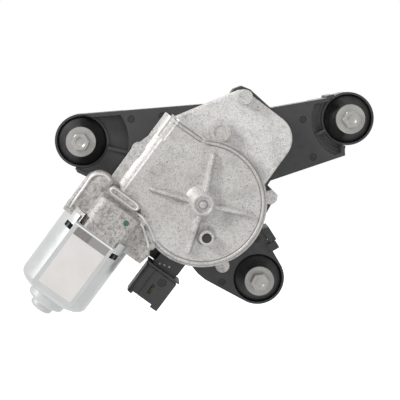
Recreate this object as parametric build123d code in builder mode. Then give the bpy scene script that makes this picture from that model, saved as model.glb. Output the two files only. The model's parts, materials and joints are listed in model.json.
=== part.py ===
from build123d import *
import os
from math import acos, atan2, cos, degrees, hypot, pi, radians, sin, sqrt, tan

# Rear wiper motor: a permanent magnet motor drives a worm and wheel, and a toothed
# segment on the wheel's crank pin swings the pinion of the output shaft to and fro.
# X runs along the two upper mounts, Z is up and Y runs out along the output shaft.
# The origin is on the shaft, where it leaves its bearing tube. Depths are measured
# along Y from the front face of the gear case. Lengths are in mm, angles in degrees.

# Main places
tube_end_depth = 50.0
wheel_centre = (-14.0, -41.2)
motor_angle = 48.5
mount_places = {"left": (-83.5, 0.0), "right": (81.5, 0.0), "bottom": (17.5, -93.8)}
mount_depths = {"left": 30.0, "right": 30.0, "bottom": 22.0}

# Fits
running_clearance = 0.05
part_gap = 0.3

# Levels behind the gear case's front face
worm_depth = 10.0
strip_depth = 3.5
deck_depth = 8.5
plate_depth = 22.0
gasket_thickness = 0.6
rim_depth = plate_depth - gasket_thickness

# Worm and wheel
worm_module = 1.15
worm_pitch_radius = 5.5
worm_length = 22.0
wheel_teeth = 60
wheel_front = 5.5
wheel_face = 9.0
wheel_hub_front = 3.0
wheel_hub_radius = 10.0
wheel_web = 3.5
wheel_rim_inner = 29.5
gear_backlash = 0.2
pressure_angle = 20.0
addendum = worm_module
dedendum = 1.17 * worm_module
worm_lead = pi * worm_module
wheel_pitch_radius = worm_module * wheel_teeth / 2
gear_distance = worm_pitch_radius + wheel_pitch_radius
flank_slope = tan(radians(pressure_angle))
wheel_back = wheel_front + wheel_face
axle_radius = 4.0
axle_nose_radius = 2.0
axle_front = -3.6
axle_washer_radius = 7.0
axle_washer_thickness = 0.5
thrust_face = wheel_hub_front - 0.1
crank_plate_radius = 17.0
crank_plate_thickness = 1.2
axle_back = wheel_back - crank_plate_thickness + part_gap + axle_washer_thickness
contact_radii = (24.0, 30.5)
contact_thickness = 0.3

# Segment linkage
segment_module = 1.25
segment_teeth_full = 24
pinion_teeth = 14
crank_radius = 12.0
crank_park_angle = 241.5
lever_length = 44.0
lever_depth = 15.5
lever_thickness = 3.0
lever_width = 9.0
segment_tooth_count = 7
segment_teeth_before = 1
pinion_front = 15.2
pinion_width = 3.6
rocker_thickness = 2.0
rocker_width = 13.0
pivot_radius = 3.5
crank_pin_radius = 3.0
linkage_backlash = 0.25
segment_radius = segment_module * segment_teeth_full / 2
pinion_radius = segment_module * pinion_teeth / 2
rocker_length = segment_radius + pinion_radius
rocker_depth = lever_depth + lever_thickness + 0.4

# Gear case
case_wall = 2.5
drum_clearance = 0.65
drum_bevel = (1.9, 2.2)
drum_round = 1.2
drum_wall = 2.3
deck_round = 1.2
nose_radius = 15.0
lug_round = 5.0
deck_corners = [(-69, -24.5), (-53.5, -6.6), (-50.3, -4.5), (-27.2, 10.3), (15.7, 24.0), (49.2, -5.4),
                (20, -39.6), (-14, -52)]
tunnel_clearance = 0.75
tunnel_wall = 2.0
tunnel_end = 30.0
shoulder_start = -24.0
shoulder_step = 16.3
shoulder_end = 31.5
shoulder_reach = 24.0
shoulder_edges = (1.7, 0.4)
shoulder_foot = 5.5
shoulder_shelf = 1.6

# Motor flange of the gear case, measured along the motor axis from the worm's middle
flange_face = -51.0
hump_end = -30.0
hump_sides = (-16.5, 11.5)
hump_rise = 7.5
hump_rounds = (4.0, 6.5)
hump_end_round = 1.5
pad_rise = 1.5
pad_round = 1.5
left_pad = (-24.0, 24.3)
left_pad_round = 5.0
right_pad = [(-31, -17), (-38, -30), (-43.5, -33), (-51, -31.6)]
block_end = -27.0
block_half_width = 20.0
block_back = 28.5
collar_step = (-27.6, -22.0, -12.0, 9.5)
collar_rise = 3.0
collar_corner = 2.7
collar_round = 2.0
brush_room = 15.3
brush_room_half_width = 17.5
brush_room_side_depth = 9.0

# Bosses and ribs on the gear case
hub_boss_radius = 10.6
hub_boss_rise = 5.5
case_rib_angles = [73, -17, -112, 159]
case_rib_root = 5.0
case_rib_reach = 31.0
case_rib_tip = 2.5
case_rib_foot = 4.4
case_rib_top = 1.6
case_rib_rises = (3.6, 1.5)
vent_place = (-13.4, -61.4)
vent_radius = 4.4
vent_rise = 4.0
vent_plug_radius = 3.0
vent_pocket_radius = 6.2
vent_pocket_offset = (-0.4, 1.2)
vent_pocket_depth = 1.2
shaft_boss_radius = 6.0
shaft_boss_front = 3.0
screw_bosses = {(16.2, 19.2): 1.5, (28.3, -43.2): 16.0, (-4.6, -81.5): 10.0, (-49.2, -7.1): 2.8}
screw_boss_radius = 4.2
screw_radius = 2.0
screw_depth = 9.0
screw_cover = 1.4
screw_head_radius = 3.8
screw_head_height = 2.6

# Output shaft and its tube
shaft_radius = 5.0
pilot_radius = 3.0
pilot_bush_radius = 4.6
pilot_front = 5.5
pilot_back = 14.7
bush_wall = 2.2
seal_gap = 0.5
seal_thickness = 3.5
retainer_gap = 1.0
retainer_inset = 2.0
retainer_thickness = 1.0
retainer_groove = 0.3
shaft_end_depth = tube_end_depth + 26.0
taper_start_depth = tube_end_depth + 10.0
taper_end_depth = tube_end_depth + 17.0
thread_radius = 4.0
tube_wall = 2.3

# Bracket
plate_thickness = 3.0
skirt_depth = 34.0
skirt_wall = 2.2
ring_radius = 16.5
ring_wall = 1.3
ring_length = 14.0
ring_web = 3.0
ring_web_front = 5.0
ring_web_reach = 4.2
pocket_steps = {"left": [(29.0, 26.0), (29.0, 31.0)], "right": [(24.0, 25.2), (21.7, 28.2), (19.6, 31.0)]}
pocket_deep_sides = {"left": (-18.0, 100.0), "right": (90.0, 270.0)}
pocket_rib_angles = {"left": -18.0, "right": 200.0}
pocket_rib_depth = 24.0
pocket_rib_width = 1.8
pocket_skirt_depth = 40.0
mark_places = [(-52.1, 11.2), (-33.3, 11.4), (52.3, 2.2), (57.0, -21.3), (18.2, -69.0), (-4.9, -94.2)]
mark_radius = 2.2
mark_depth = 0.3
clip_blocks = {19.5: [(22.0, -62.8), (26.2, -61.6), (30.6, -69.9), (26.6, -71.7)],
               20.5: [(24.6, -72.8), (30.2, -71.3), (32.2, -75.3), (26.6, -78.0)]}
tube_rib_angles = [20, 110, 200, 290]
tube_rib_reach = 22.0
bracket_corners = [
    (-83.5, 16.5), (5.5, 16.5), (11.5, 24.2), (16.2, 25.7), (21.5, 23.0), (33, 10.9), (67.7, 14.0), (68.1, 15.4),
    (72.2, 16.0), (81.5, 0), (77, -18.5), (77, -22), (29.7, -33.6), (27.8, -36.2), (33.6, -43.2), (29, -48.5),
    (21.6, -59.9), (28, -77.3), (33.3, -88.5), (17.5, -93.8), (8.5, -107.6), (-9.4, -95.7), (-15.4, -91.6),
    (-19.5, -87.5), (-25, -79.4), (-32.4, -87.7), (-50.4, -71.8), (-52.7, -74.4), (-62.1, -66.1), (-46.3, -48.2),
    (-76.9, -21.1), (-93.1, -39.4), (-96, -36.7), (-81.4, -21.9), (-87.5, -18.3), (-88.5, -15.7)]

# Mount rubbers and bolts
cone_base_inset = 1.2
cone_top_wall = 3.6
cone_bulge = 1.6
cone_rise = 7.2
cone_behind = 1.0
sleeve_wall = 1.7
sleeve_clearance = 0.1
sleeve_behind = 16.0
washer_radius = 9.0
washer_thickness = 1.8
bolt_radius = 3.0
bolt_shoulder = 0.2
bolt_head_width = 10.0
bolt_head_height = 4.0
bolt_reach = 12.0

# Motor
can_radius = 22.7
can_flat_cut = 4.7
can_wall = 1.2
can_end = -98.3
can_round = 5.0
can_bevel = 2.5
tab_width = 4.5
tab_end = -47.0
tab_seat_end = -45.0
tab_seat_margin = 1.8
tab_window = (-57.5, -54.0)
nose_radii = (12.0, 7.2)
nose_ends = (-105.0, -110.0)
motor_shaft_radius = 3.0
core_span = (-91.0, -58.0)
air_gap = 0.8
core_slots = 8
slot_inset = 3.4
slot_mouth = (3.0, 1.6)
magnet_thickness = 6.2
magnet_span = (-92.5, -55.0)
magnet_half_angle = 42.0
commutator_span = (-46.5, -35.0)
commutator_radius = 8.0
commutator_slit = (1.6, 0.5)
brush_plate_front = -50.6
brush_plate_thickness = 2.0
brush_plate_opening = 1.5
brush_span = (-46.0, -38.5)
brush_half_height = 3.1
brush_sink = 3.0
brush_reach = 6.0
brush_box_end = -37.0
brush_box_gap = 1.0
brush_box_length = 8.0
brush_box_wall = 1.0
brush_fit = 0.1
choke_radius = 2.2
choke_length = 10.0
choke_places = [(-3.5, 12.2), (5.5, 12.2)]
capacitor_box = (9.0, (-6.0, 1.0), (-14.5, -10.5))
breaker_box = (11.0, (4.0, 12.0), (-14.0, -10.5))
motor_shaft_span = (-107.0, 24.0)
nose_round = 2.0
slot_radius = 2.3
coil_overhang = 3.2
end_bearing_half = 3.0
end_bearing_radius = 7.2
retainer_offset = 1.6
retainer_plate = 0.8
worm_bush_length = 7.0
worm_bush_margin = 0.2
worm_bearing_span = (-24.0, -17.0)

# Plug header
header_span = (-70.0, -49.8)
header_sides = (-58.0, -36.0)
header_depths = (7.5, 22.0)
header_wall = 1.6
header_rounds = (1.2, 3.0)
header_notch = (-53.0, -39.0)
header_notch_length = 1.7
header_groove = (-42.6, -41.2)
header_groove_depth = 0.8
header_slot = (-64.0, -57.4)
header_slot_width = 1.9
header_mark = (-53.75, -50.2)
header_neck_end = -48.6
header_neck_inset = 1.0
header_collar_end = -47.6
header_collar_proud = 0.6
header_base_end = -37.5
header_floor = -54.0
header_base_front = 11.0
header_base_width = 16.0
blade_count = 4
blade_pitch = 3.4
blade_width = 1.6
blade_thickness = 0.8
blade_span = (-66.0, -40.0)
blade_depth = 14.6
finger_radii = (26.0, 29.0)
finger_root_depth = 17.5
finger_end = -24.0

# Values that follow
angle_cos = cos(radians(motor_angle))
angle_sin = sin(radians(motor_angle))
worm_middle = (wheel_centre[0] - gear_distance * angle_sin, wheel_centre[1] + gear_distance * angle_cos)
motor_direction = Vector(angle_cos, 0, angle_sin)
motor_away = Vector(-angle_sin, 0, angle_cos)
worm_point = Vector(worm_middle[0], worm_depth - tube_end_depth, worm_middle[1])
motor_axis = Axis(worm_point, motor_direction)
wheel_axis = Axis((wheel_centre[0], 0, wheel_centre[1]), (0, 1, 0))
worm_tip = worm_pitch_radius + addendum
worm_root = worm_pitch_radius - dedendum
tunnel_bore = worm_tip + tunnel_clearance
tunnel_radius = tunnel_bore + tunnel_wall
chamber_radius = wheel_pitch_radius + addendum + drum_clearance
drum_radius = chamber_radius + drum_wall
lever_back = lever_depth + lever_thickness
rocker_back = rocker_depth + rocker_thickness
brush_plate_back = brush_plate_front + brush_plate_thickness
header_middle = sum(header_sides) / 2
tube_bore = shaft_radius + bush_wall
tube_radius = tube_bore + tube_wall
retainer_depth = tube_end_depth - retainer_inset
seal_depth = retainer_depth - retainer_gap - seal_thickness
bush_back = seal_depth - seal_gap
ring_bore = ring_radius - ring_wall
ring_web_bore = ring_bore - ring_web_reach
bolt_shoulder_radius = bolt_radius + bolt_shoulder
sleeve_bore = bolt_shoulder_radius + sleeve_clearance
sleeve_radius = sleeve_bore + sleeve_wall
cone_base_radius = ring_bore - cone_base_inset
cone_top_radius = sleeve_radius + cone_top_wall
can_bore = can_radius - can_wall
can_flat = can_radius - can_flat_cut
flat_half_width = sqrt(can_radius**2 - can_flat**2)
tab_sides = (flat_half_width, flat_half_width + tab_width)
tab_seat_sides = (tab_sides[0] - tab_seat_margin, tab_sides[1] + tab_seat_margin)
magnet_inner = can_bore - magnet_thickness
core_radius = magnet_inner - air_gap
nose_bore = nose_radii[1] - can_wall
end_bearing_middle = nose_ends[0] + can_wall + sqrt(end_bearing_radius**2 - nose_bore**2)


def at_depth(depth, centre=(0, 0), turn=0):
    """Plane that faces the viewer at a depth: local x and y run along X and Z, turned by an angle."""
    heading = (cos(radians(turn)), 0, sin(radians(turn)))
    return Plane(origin=(centre[0], depth - tube_end_depth, centre[1]), x_dir=heading, z_dir=(0, -1, 0))


def beside_motor(depth):
    """Plane at a depth: local x runs along the motor axis, local y away from the wheel."""
    return at_depth(depth, worm_middle, motor_angle)


def across_motor(along, turn=0):
    """Plane square to the motor axis: local x runs to the wheel side, local y runs deeper."""
    square = Plane(origin=worm_point + motor_direction * along, x_dir=-motor_away, z_dir=motor_direction)
    return square.rotated((0, 0, turn))


def radial(centre, angle=0, depth=0):
    """Plane through a line along the output shaft: local x runs outward at an angle, local y to the viewer."""
    outward = (cos(radians(angle)), 0, sin(radians(angle)))
    return Plane(origin=(centre[0], depth - tube_end_depth, centre[1]), x_dir=outward,
                 z_dir=(sin(radians(angle)), 0, -cos(radians(angle))))


def radial_motor(along):
    """Plane through the motor axis: local x runs along it, local y away from the wheel."""
    return Plane(origin=worm_point + motor_direction * along, x_dir=motor_direction, z_dir=(0, -1, 0))


def spot(along, away):
    """X and Z of a place given along the motor axis and away from the wheel."""
    return (worm_middle[0] + along * angle_cos - away * angle_sin,
            worm_middle[1] + along * angle_sin + away * angle_cos)


def toward(angle, reach, centre=(0, 0)):
    """A place at an angle and a distance from a centre."""
    return (centre[0] + reach * cos(radians(angle)), centre[1] + reach * sin(radians(angle)))


def screw_start(top):
    """Depth where a screw's hole starts: under the boss's cover, and no deeper than the screw needs."""
    return max(top + screw_cover, rim_depth - screw_depth)


def bar(centre, front, back, radius, bore=0, mode=Mode.ADD):
    """Round bar or tube along the output shaft between two depths."""
    with BuildSketch(at_depth(front, centre)) as section:
        Circle(radius)
        if bore:
            Circle(bore, mode=Mode.SUBTRACT)
    extrude(section.sketch, amount=front - back, mode=mode)


def motor_bar(start, end, radius, bore=0, mode=Mode.ADD):
    """Round bar or tube on the motor axis between two places along it."""
    with BuildSketch(across_motor(start)) as section:
        Circle(radius)
        if bore:
            Circle(bore, mode=Mode.SUBTRACT)
    extrude(section.sketch, amount=end - start, mode=mode)


def motor_box(start, end, across, deep, mode=Mode.ADD):
    """Box beside the motor axis: its ends, its two sides toward the wheel and its two depths from the axis."""
    with BuildSketch(across_motor(start)) as section:
        with Locations(((across[0] + across[1]) / 2, (deep[0] + deep[1]) / 2)):
            Rectangle(across[1] - across[0], deep[1] - deep[0])
    extrude(section.sketch, amount=end - start, mode=mode)


# Linkage at park: the segment's pivot is where the rocker and the lever meet
crank_place = toward(crank_park_angle, crank_radius, wheel_centre)
crank_distance = hypot(*crank_place)
rocker_opening = acos((crank_distance**2 + rocker_length**2 - lever_length**2) / (2 * crank_distance * rocker_length))
rocker_angle = degrees(atan2(crank_place[1], crank_place[0]) + rocker_opening)
pivot_place = toward(rocker_angle, rocker_length)
lever_angle = degrees(atan2(crank_place[1] - pivot_place[1], crank_place[0] - pivot_place[0]))
contact_angle = rocker_angle + 180
segment_start = contact_angle - (segment_teeth_before + 0.5) * 360 / segment_teeth_full
segment_finish = segment_start + segment_tooth_count * 360 / segment_teeth_full


def tooth(module, teeth, radius, backlash):
    """Outline of one gear tooth on the x axis, with straight flanks on the involute's widths."""
    base = radius * cos(radians(pressure_angle))
    pitch_half = pi / teeth / 2 - backlash / radius / 4
    pitch_roll = flank_slope - radians(pressure_angle)
    corners = []
    for reach in (radius - 1.17 * module, radius + module):
        roll = acos(min(base / reach, 1))
        half = degrees(pitch_half + pitch_roll - tan(roll) + roll)
        corners.append((reach, half))
    root, tip = corners
    foot = (0.9 * root[0], root[1])
    with BuildSketch(mode=Mode.PRIVATE) as outline:
        Polygon(toward(-foot[1], foot[0]), toward(-root[1], root[0]), toward(-tip[1], tip[0]),
                toward(tip[1], tip[0]), toward(root[1], root[0]), toward(foot[1], foot[0]), align=None)
    return outline.sketch


def blade(number, mode=Mode.ADD):
    """One contact blade of the plug header."""
    place = header_middle + (number - (blade_count - 1) / 2) * blade_pitch
    with BuildSketch(beside_motor(blade_depth)) as section:
        with Locations((sum(blade_span) / 2, place)):
            Rectangle(blade_span[1] - blade_span[0], blade_width)
    extrude(section.sketch, amount=-blade_thickness, mode=mode)


# Flat outlines shared by the gear case, its gasket and the bracket
with BuildSketch() as deck:
    Polygon(*deck_corners, align=None)
    fillet(deck.vertices().sort_by(Axis.X)[-1], nose_radius)
    fillet(deck.vertices().sort_by(Axis.Y)[-1], lug_round)

with BuildSketch() as case_outline:
    add(deck.sketch)
    with Locations(wheel_centre):
        Circle(drum_radius)

with BuildSketch() as case_hollow:
    add(deck.sketch)
    offset(amount=-case_wall)
    with Locations(wheel_centre):
        Circle(chamber_radius)

with BuildSketch() as left_pad_outline:
    Polygon(spot(flange_face, left_pad[1]), spot(left_pad[0], left_pad[1]), spot(left_pad[0], 0),
            spot(flange_face, 0), align=None)
    corner = left_pad_outline.vertices().sort_by_distance(Vector(*spot(left_pad[0], left_pad[1])))[0]
    fillet(corner, left_pad_round)

with BuildSketch() as right_pad_outline:
    Polygon(spot(flange_face, 0), spot(right_pad[0][0], 0), *[spot(*corner) for corner in right_pad], align=None)

with BuildSketch() as collar_outline:
    with Locations(Pos(*spot((collar_step[0] + collar_step[1]) / 2, (collar_step[2] + collar_step[3]) / 2))):
        RectangleRounded(collar_step[1] - collar_step[0], collar_step[3] - collar_step[2], collar_corner,
                         rotation=motor_angle)


def rounded_block(outline, front, back, edge_round):
    """Block between two depths, with its front edges rounded as a casting has them."""
    with BuildPart(mode=Mode.PRIVATE) as block:
        with BuildSketch(at_depth(front)):
            add(outline.sketch)
        extrude(amount=front - back)
        fillet(block.faces().sort_by(Axis.Y)[0].edges(), edge_round)
    return block.part


def rib_end(centre, angle, reach, rise):
    """Cross-section of a drafted rib that runs outward from a centre on the gear case's front face."""
    outward = Vector(cos(radians(angle)), 0, sin(radians(angle)))
    foot = at_depth(0, centre).origin + outward * reach
    with BuildSketch(Plane(origin=foot, x_dir=(-outward.Z, 0, outward.X), z_dir=outward)) as section:
        Polygon((-case_rib_foot / 2, -1), (case_rib_foot / 2, -1), (case_rib_top / 2, rise),
                (-case_rib_top / 2, rise), align=None)
    return section.sketch.faces()[0]


deck_block = rounded_block(deck, deck_depth, rim_depth, deck_round)
left_pad_block = rounded_block(left_pad_outline, -pad_rise, rim_depth, pad_round)
right_pad_block = rounded_block(right_pad_outline, -pad_rise, rim_depth, pad_round)
collar_block = rounded_block(collar_outline, -collar_rise, pad_rise, collar_round)

# Hump over the brush room: its left flank is rounder than its right one
with BuildPart() as hump:
    with BuildSketch(across_motor(flange_face)) as hump_section:
        left, right = -hump_sides[1], -hump_sides[0]
        Polygon((left, 0), (left, -worm_depth - hump_rise), (right, -worm_depth - hump_rise), (right, 0), align=None)
        for side, edge_round in zip((right, left), hump_rounds):
            fillet(hump_section.vertices().sort_by_distance((side, -worm_depth - hump_rise))[0], edge_round)
    extrude(amount=hump_end - flange_face)
    fillet(hump.faces().sort_by(motor_axis)[-1].edges().filter_by(Plane.XY, reverse=True).sort_by(Axis.Y)[0],
           hump_end_round)

# Gear case: one aluminium casting
with BuildPart() as gear_housing:
    # Deck over the linkage, the strip beside the worm and the drum over the wheel
    add(deck_block)
    with BuildSketch(at_depth(strip_depth)):
        add(deck.sketch)
        Polygon(spot(shoulder_start, 30), spot(shoulder_end, 30), spot(shoulder_end, -30),
                spot(shoulder_start, -30), align=None, mode=Mode.INTERSECT)
    extrude(amount=strip_depth - rim_depth)
    for start, end, edge, foot_depth in ((shoulder_start, shoulder_step, shoulder_edges[0], strip_depth),
                                         (shoulder_step, shoulder_end, shoulder_edges[1], shoulder_shelf)):
        with BuildSketch(across_motor(start)):
            Polygon((shoulder_reach, -worm_depth), (-edge, -worm_depth), (-edge - foot_depth, foot_depth - worm_depth),
                    (-shoulder_foot, foot_depth - worm_depth), (-shoulder_foot, deck_depth - worm_depth),
                    (shoulder_reach, deck_depth - worm_depth), align=None)
        extrude(amount=end - start)
    with BuildSketch(radial(wheel_centre)) as drum_profile:
        drum_top_radius = drum_radius - drum_bevel[0]
        Polygon((0, 0), (drum_top_radius, 0), (drum_radius, -drum_bevel[1]), (drum_radius, -rim_depth),
                (0, -rim_depth), align=None)
        fillet(drum_profile.vertices().sort_by_distance((drum_top_radius, 0))[0], drum_round)
    revolve(axis=wheel_axis)
    # Motor flange: two pads, the block round the brushes, the hump and the collar before the worm
    add(left_pad_block)
    add(right_pad_block)
    with BuildSketch(beside_motor(-pad_rise)):
        with Locations(((flange_face + block_end) / 2, 0)):
            Rectangle(block_end - flange_face, 2 * block_half_width)
    extrude(amount=-pad_rise - block_back)
    add(hump.part)
    add(collar_block)
    # Seats for the can's bent tabs, with a notch beside each
    for sides in (tab_seat_sides, (-tab_seat_sides[1], -tab_seat_sides[0])):
        motor_box(flange_face, tab_seat_end, sides, (-can_radius - 1, -worm_depth - pad_rise), mode=Mode.SUBTRACT)
        with BuildSketch(across_motor(flange_face)):
            Circle(can_bore)
            with Locations(((sides[0] + sides[1]) / 2, -can_radius / 2)):
                Rectangle(sides[1] - sides[0], can_radius, mode=Mode.INTERSECT)
        extrude(amount=tab_seat_end - flange_face)
    # Hollows under the deck and the drum, then the tunnel for the worm
    with BuildSketch(at_depth(deck_depth + case_wall)):
        add(deck.sketch)
        offset(amount=-case_wall)
        Polygon(spot(shoulder_start + case_wall, 30), spot(90, 30), spot(90, -90),
                spot(shoulder_start + case_wall, -90), align=None, mode=Mode.INTERSECT)
    extrude(amount=deck_depth + case_wall - rim_depth, mode=Mode.SUBTRACT)
    motor_bar(block_end, tunnel_end, tunnel_radius)
    bar(wheel_centre, case_wall, rim_depth, chamber_radius, mode=Mode.SUBTRACT)
    motor_bar(block_end, tunnel_end - case_wall, tunnel_bore, mode=Mode.SUBTRACT)
    motor_bar(block_end - 2 * case_wall, block_end + 1, motor_shaft_radius + 1, mode=Mode.SUBTRACT)
    # Room for the commutator and the brushes
    motor_box(flange_face, block_end - case_wall, (-10, 14), (-brush_room, brush_room), mode=Mode.SUBTRACT)
    motor_box(flange_face, block_end - case_wall, (-brush_room_half_width, brush_room_half_width),
              (-brush_room_side_depth, brush_room), mode=Mode.SUBTRACT)
    # Boss of the wheel's axle, with its four ribs
    with BuildSketch(radial(wheel_centre)):
        Polygon((0, -case_wall), (hub_boss_radius, 0), (7.4, 2.6), (6.2, 3.0), (6.0, hub_boss_rise),
                (0, hub_boss_rise), align=None)
    revolve(axis=wheel_axis)
    for angle in case_rib_angles:
        rib_root = rib_end(wheel_centre, angle, case_rib_root, case_rib_rises[0])
        rib_tip = rib_end(wheel_centre, angle, case_rib_reach - case_rib_tip, case_rib_rises[1])
        rib_foot = rib_end(wheel_centre, angle, case_rib_reach, 0)
        loft([rib_root, rib_tip], ruled=True)
        loft([rib_tip, rib_foot], ruled=True)
    bar(wheel_centre, 0, thrust_face, axle_radius + 4)
    bar(wheel_centre, axle_front, thrust_face, axle_radius, mode=Mode.SUBTRACT)
    bar(wheel_centre, -hub_boss_rise, 0, axle_nose_radius, mode=Mode.SUBTRACT)
    # Boss of the output shaft's inner bearing
    bar((0, 0), deck_depth - 1, pilot_back, shaft_boss_radius + 1.4)
    bar((0, 0), shaft_boss_front, deck_depth, shaft_boss_radius)
    bar((0, 0), shaft_boss_front, shaft_boss_front + 0.7, shaft_boss_radius - 2, mode=Mode.SUBTRACT)
    bar((0, 0), pilot_front, pilot_back, pilot_bush_radius, mode=Mode.SUBTRACT)
    # Vent in its shallow pocket
    vent_pocket = (vent_place[0] + vent_pocket_offset[0], vent_place[1] + vent_pocket_offset[1])
    bar(vent_pocket, -case_rib_rises[0], vent_pocket_depth, vent_pocket_radius, mode=Mode.SUBTRACT)
    bar(vent_place, -vent_rise, case_wall, vent_radius)
    bar(vent_place, -vent_rise, case_wall, vent_plug_radius, mode=Mode.SUBTRACT)
    # Bosses for the screws that hold the bracket
    for place, top in screw_bosses.items():
        bar(place, top, rim_depth, screw_boss_radius)
        bar(place, screw_start(top), rim_depth, screw_radius, mode=Mode.SUBTRACT)
    # Doorway for the plug header
    with BuildSketch(beside_motor(header_base_front - part_gap)):
        with Locations(((header_span[1] + header_base_end) / 2, header_middle)):
            Rectangle(header_base_end - header_span[1] + 8, header_base_width + 2 * part_gap)
    extrude(amount=header_base_front - part_gap - rim_depth, mode=Mode.SUBTRACT)

# Gasket between the gear case and the bracket
with BuildPart() as housing_gasket:
    with BuildSketch(at_depth(rim_depth)):
        add(case_outline.sketch)
        add(case_hollow.sketch, mode=Mode.SUBTRACT)
        Polygon(spot(shoulder_start, 60), spot(90, 60), spot(90, -110), spot(shoulder_start, -110),
                align=None, mode=Mode.INTERSECT)
        with Locations(*screw_bosses):
            Circle(screw_radius + part_gap, mode=Mode.SUBTRACT)
    extrude(amount=-gasket_thickness)

# Vent plug: a disc of breathing fabric in its plastic ring
with BuildPart() as vent_plug:
    bar(vent_place, -vent_rise + 0.5, 1.5, vent_plug_radius)

# Bracket: one moulding with the three mount rings and the shaft's bearing tube
with BuildSketch() as bracket_outline:
    Polygon(*bracket_corners, align=None)
    with Locations(*mount_places.values()):
        Circle(ring_radius)

with BuildSketch() as bracket_inside:
    add(bracket_outline.sketch)
    offset(amount=-skirt_wall)


def pocket_area(side, radius, inner=0, sides=None):
    """Part of a pocket round a mount ring, between two radii and, if given, two angles."""
    centre = mount_places[side]
    with BuildSketch(mode=Mode.PRIVATE) as area:
        add(bracket_inside.sketch)
        with Locations(centre):
            Circle(radius, mode=Mode.INTERSECT)
            if inner:
                Circle(inner, mode=Mode.SUBTRACT)
        if sides:
            middle = (sides[0] + sides[1]) / 2
            far = 3 * radius
            Polygon(centre, toward(sides[0], far, centre), toward(middle, far, centre), toward(sides[1], far, centre),
                    align=None, mode=Mode.INTERSECT)
    return area.sketch


with BuildPart() as cover_bracket:
    # Plate with its skirt, deeper round the upper rings
    with BuildSketch(at_depth(plate_depth)):
        add(bracket_outline.sketch)
    extrude(amount=plate_depth - skirt_depth)
    for side, steps in pocket_steps.items():
        with BuildSketch(at_depth(plate_depth)):
            add(bracket_outline.sketch)
            with Locations(mount_places[side]):
                Circle(steps[0][0] + skirt_wall, mode=Mode.INTERSECT)
        extrude(amount=plate_depth - pocket_skirt_depth)
    with BuildSketch(at_depth(plate_depth + plate_thickness)):
        add(bracket_inside.sketch)
        for side, steps in pocket_steps.items():
            with Locations(mount_places[side]):
                Circle(steps[0][0] + skirt_wall, mode=Mode.SUBTRACT)
        with Locations(mount_places["bottom"]):
            Circle(ring_radius, mode=Mode.SUBTRACT)
    extrude(amount=plate_depth + plate_thickness - skirt_depth, mode=Mode.SUBTRACT)
    # Stepped pockets round the upper rings, open to the front, and the hollows behind them
    for side, steps in pocket_steps.items():
        deep_sides = pocket_deep_sides[side]
        for number, (radius, floor) in enumerate(steps):
            sides = deep_sides if number else None
            with BuildSketch(at_depth(plate_depth)):
                add(pocket_area(side, radius, sides=sides))
            extrude(amount=plate_depth - floor, mode=Mode.SUBTRACT)
        last_floor = steps[-1][1]
        with BuildSketch(at_depth(last_floor + plate_thickness)):
            add(pocket_area(side, steps[0][0]))
        extrude(amount=last_floor + plate_thickness - pocket_skirt_depth, mode=Mode.SUBTRACT)
        with BuildSketch(at_depth(pocket_rib_depth)):
            add(bracket_inside.sketch)
            with Locations(mount_places[side]):
                Circle(steps[0][0], mode=Mode.INTERSECT)
            with Locations(Pos(*toward(pocket_rib_angles[side], steps[0][0] / 2, mount_places[side]))):
                Rectangle(steps[0][0], pocket_rib_width, rotation=pocket_rib_angles[side], mode=Mode.INTERSECT)
        extrude(amount=pocket_rib_depth - last_floor)
    # Mount rings, each with the web that its rubber grips
    for side, place in mount_places.items():
        front = mount_depths[side]
        bar(place, plate_depth - 1, front, ring_radius, mode=Mode.SUBTRACT)
        bar(place, front, front + ring_length, ring_radius)
        bar(place, front, front + ring_web_front, ring_bore, mode=Mode.SUBTRACT)
        bar(place, front, front + ring_length, ring_web_bore, mode=Mode.SUBTRACT)
        bar(place, front + ring_web_front + ring_web, front + ring_length, ring_bore, mode=Mode.SUBTRACT)
    # Bearing tube with its ribs
    bar((0, 0), plate_depth, tube_end_depth, tube_radius)
    for angle in tube_rib_angles:
        with BuildSketch(radial((0, 0), angle)):
            Polygon((0, -plate_depth), (tube_rib_reach, -plate_depth - plate_thickness),
                    (tube_rib_reach, -skirt_depth), (tube_radius, -tube_end_depth + 3), (0, -tube_end_depth + 3),
                    align=None)
        extrude(amount=skirt_wall / 2, both=True)
    bar((0, 0), plate_depth, tube_end_depth, tube_bore, mode=Mode.SUBTRACT)
    # Cable clip on the edge of the lower arm, and the round marks of the mould's pins
    for front, corners in clip_blocks.items():
        with BuildSketch(at_depth(front)):
            Polygon(*corners, align=None)
        extrude(amount=front - skirt_depth)
    with BuildSketch(at_depth(plate_depth)):
        with Locations(*mark_places):
            Circle(mark_radius)
    extrude(amount=-mark_depth, mode=Mode.SUBTRACT)
    # Holes for the housing screws and room for their heads
    for place in screw_bosses:
        bar(place, plate_depth + plate_thickness, tube_end_depth, screw_head_radius + part_gap, mode=Mode.SUBTRACT)
        bar(place, plate_depth, plate_depth + plate_thickness, screw_radius + part_gap, mode=Mode.SUBTRACT)

# Housing screws, driven from behind
with BuildPart() as housing_screws:
    for place, top in screw_bosses.items():
        bar(place, screw_start(top) + part_gap, plate_depth + plate_thickness, screw_radius)
        bar(place, plate_depth + plate_thickness, plate_depth + plate_thickness + screw_head_height,
            screw_head_radius)

# Wheel, turned so that a gap meets the worm's thread
tooth_twist = degrees(wheel_face * worm_lead / (2 * pi * worm_pitch_radius) / wheel_pitch_radius)
wheel_turn = motor_angle + 90 + 180 / wheel_teeth + tooth_twist / 2
with BuildSketch(at_depth(wheel_front, wheel_centre, wheel_turn)) as wheel_section:
    Circle(wheel_pitch_radius - dedendum)
    with PolarLocations(0, wheel_teeth):
        add(tooth(worm_module, wheel_teeth, wheel_pitch_radius, gear_backlash))

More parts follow.
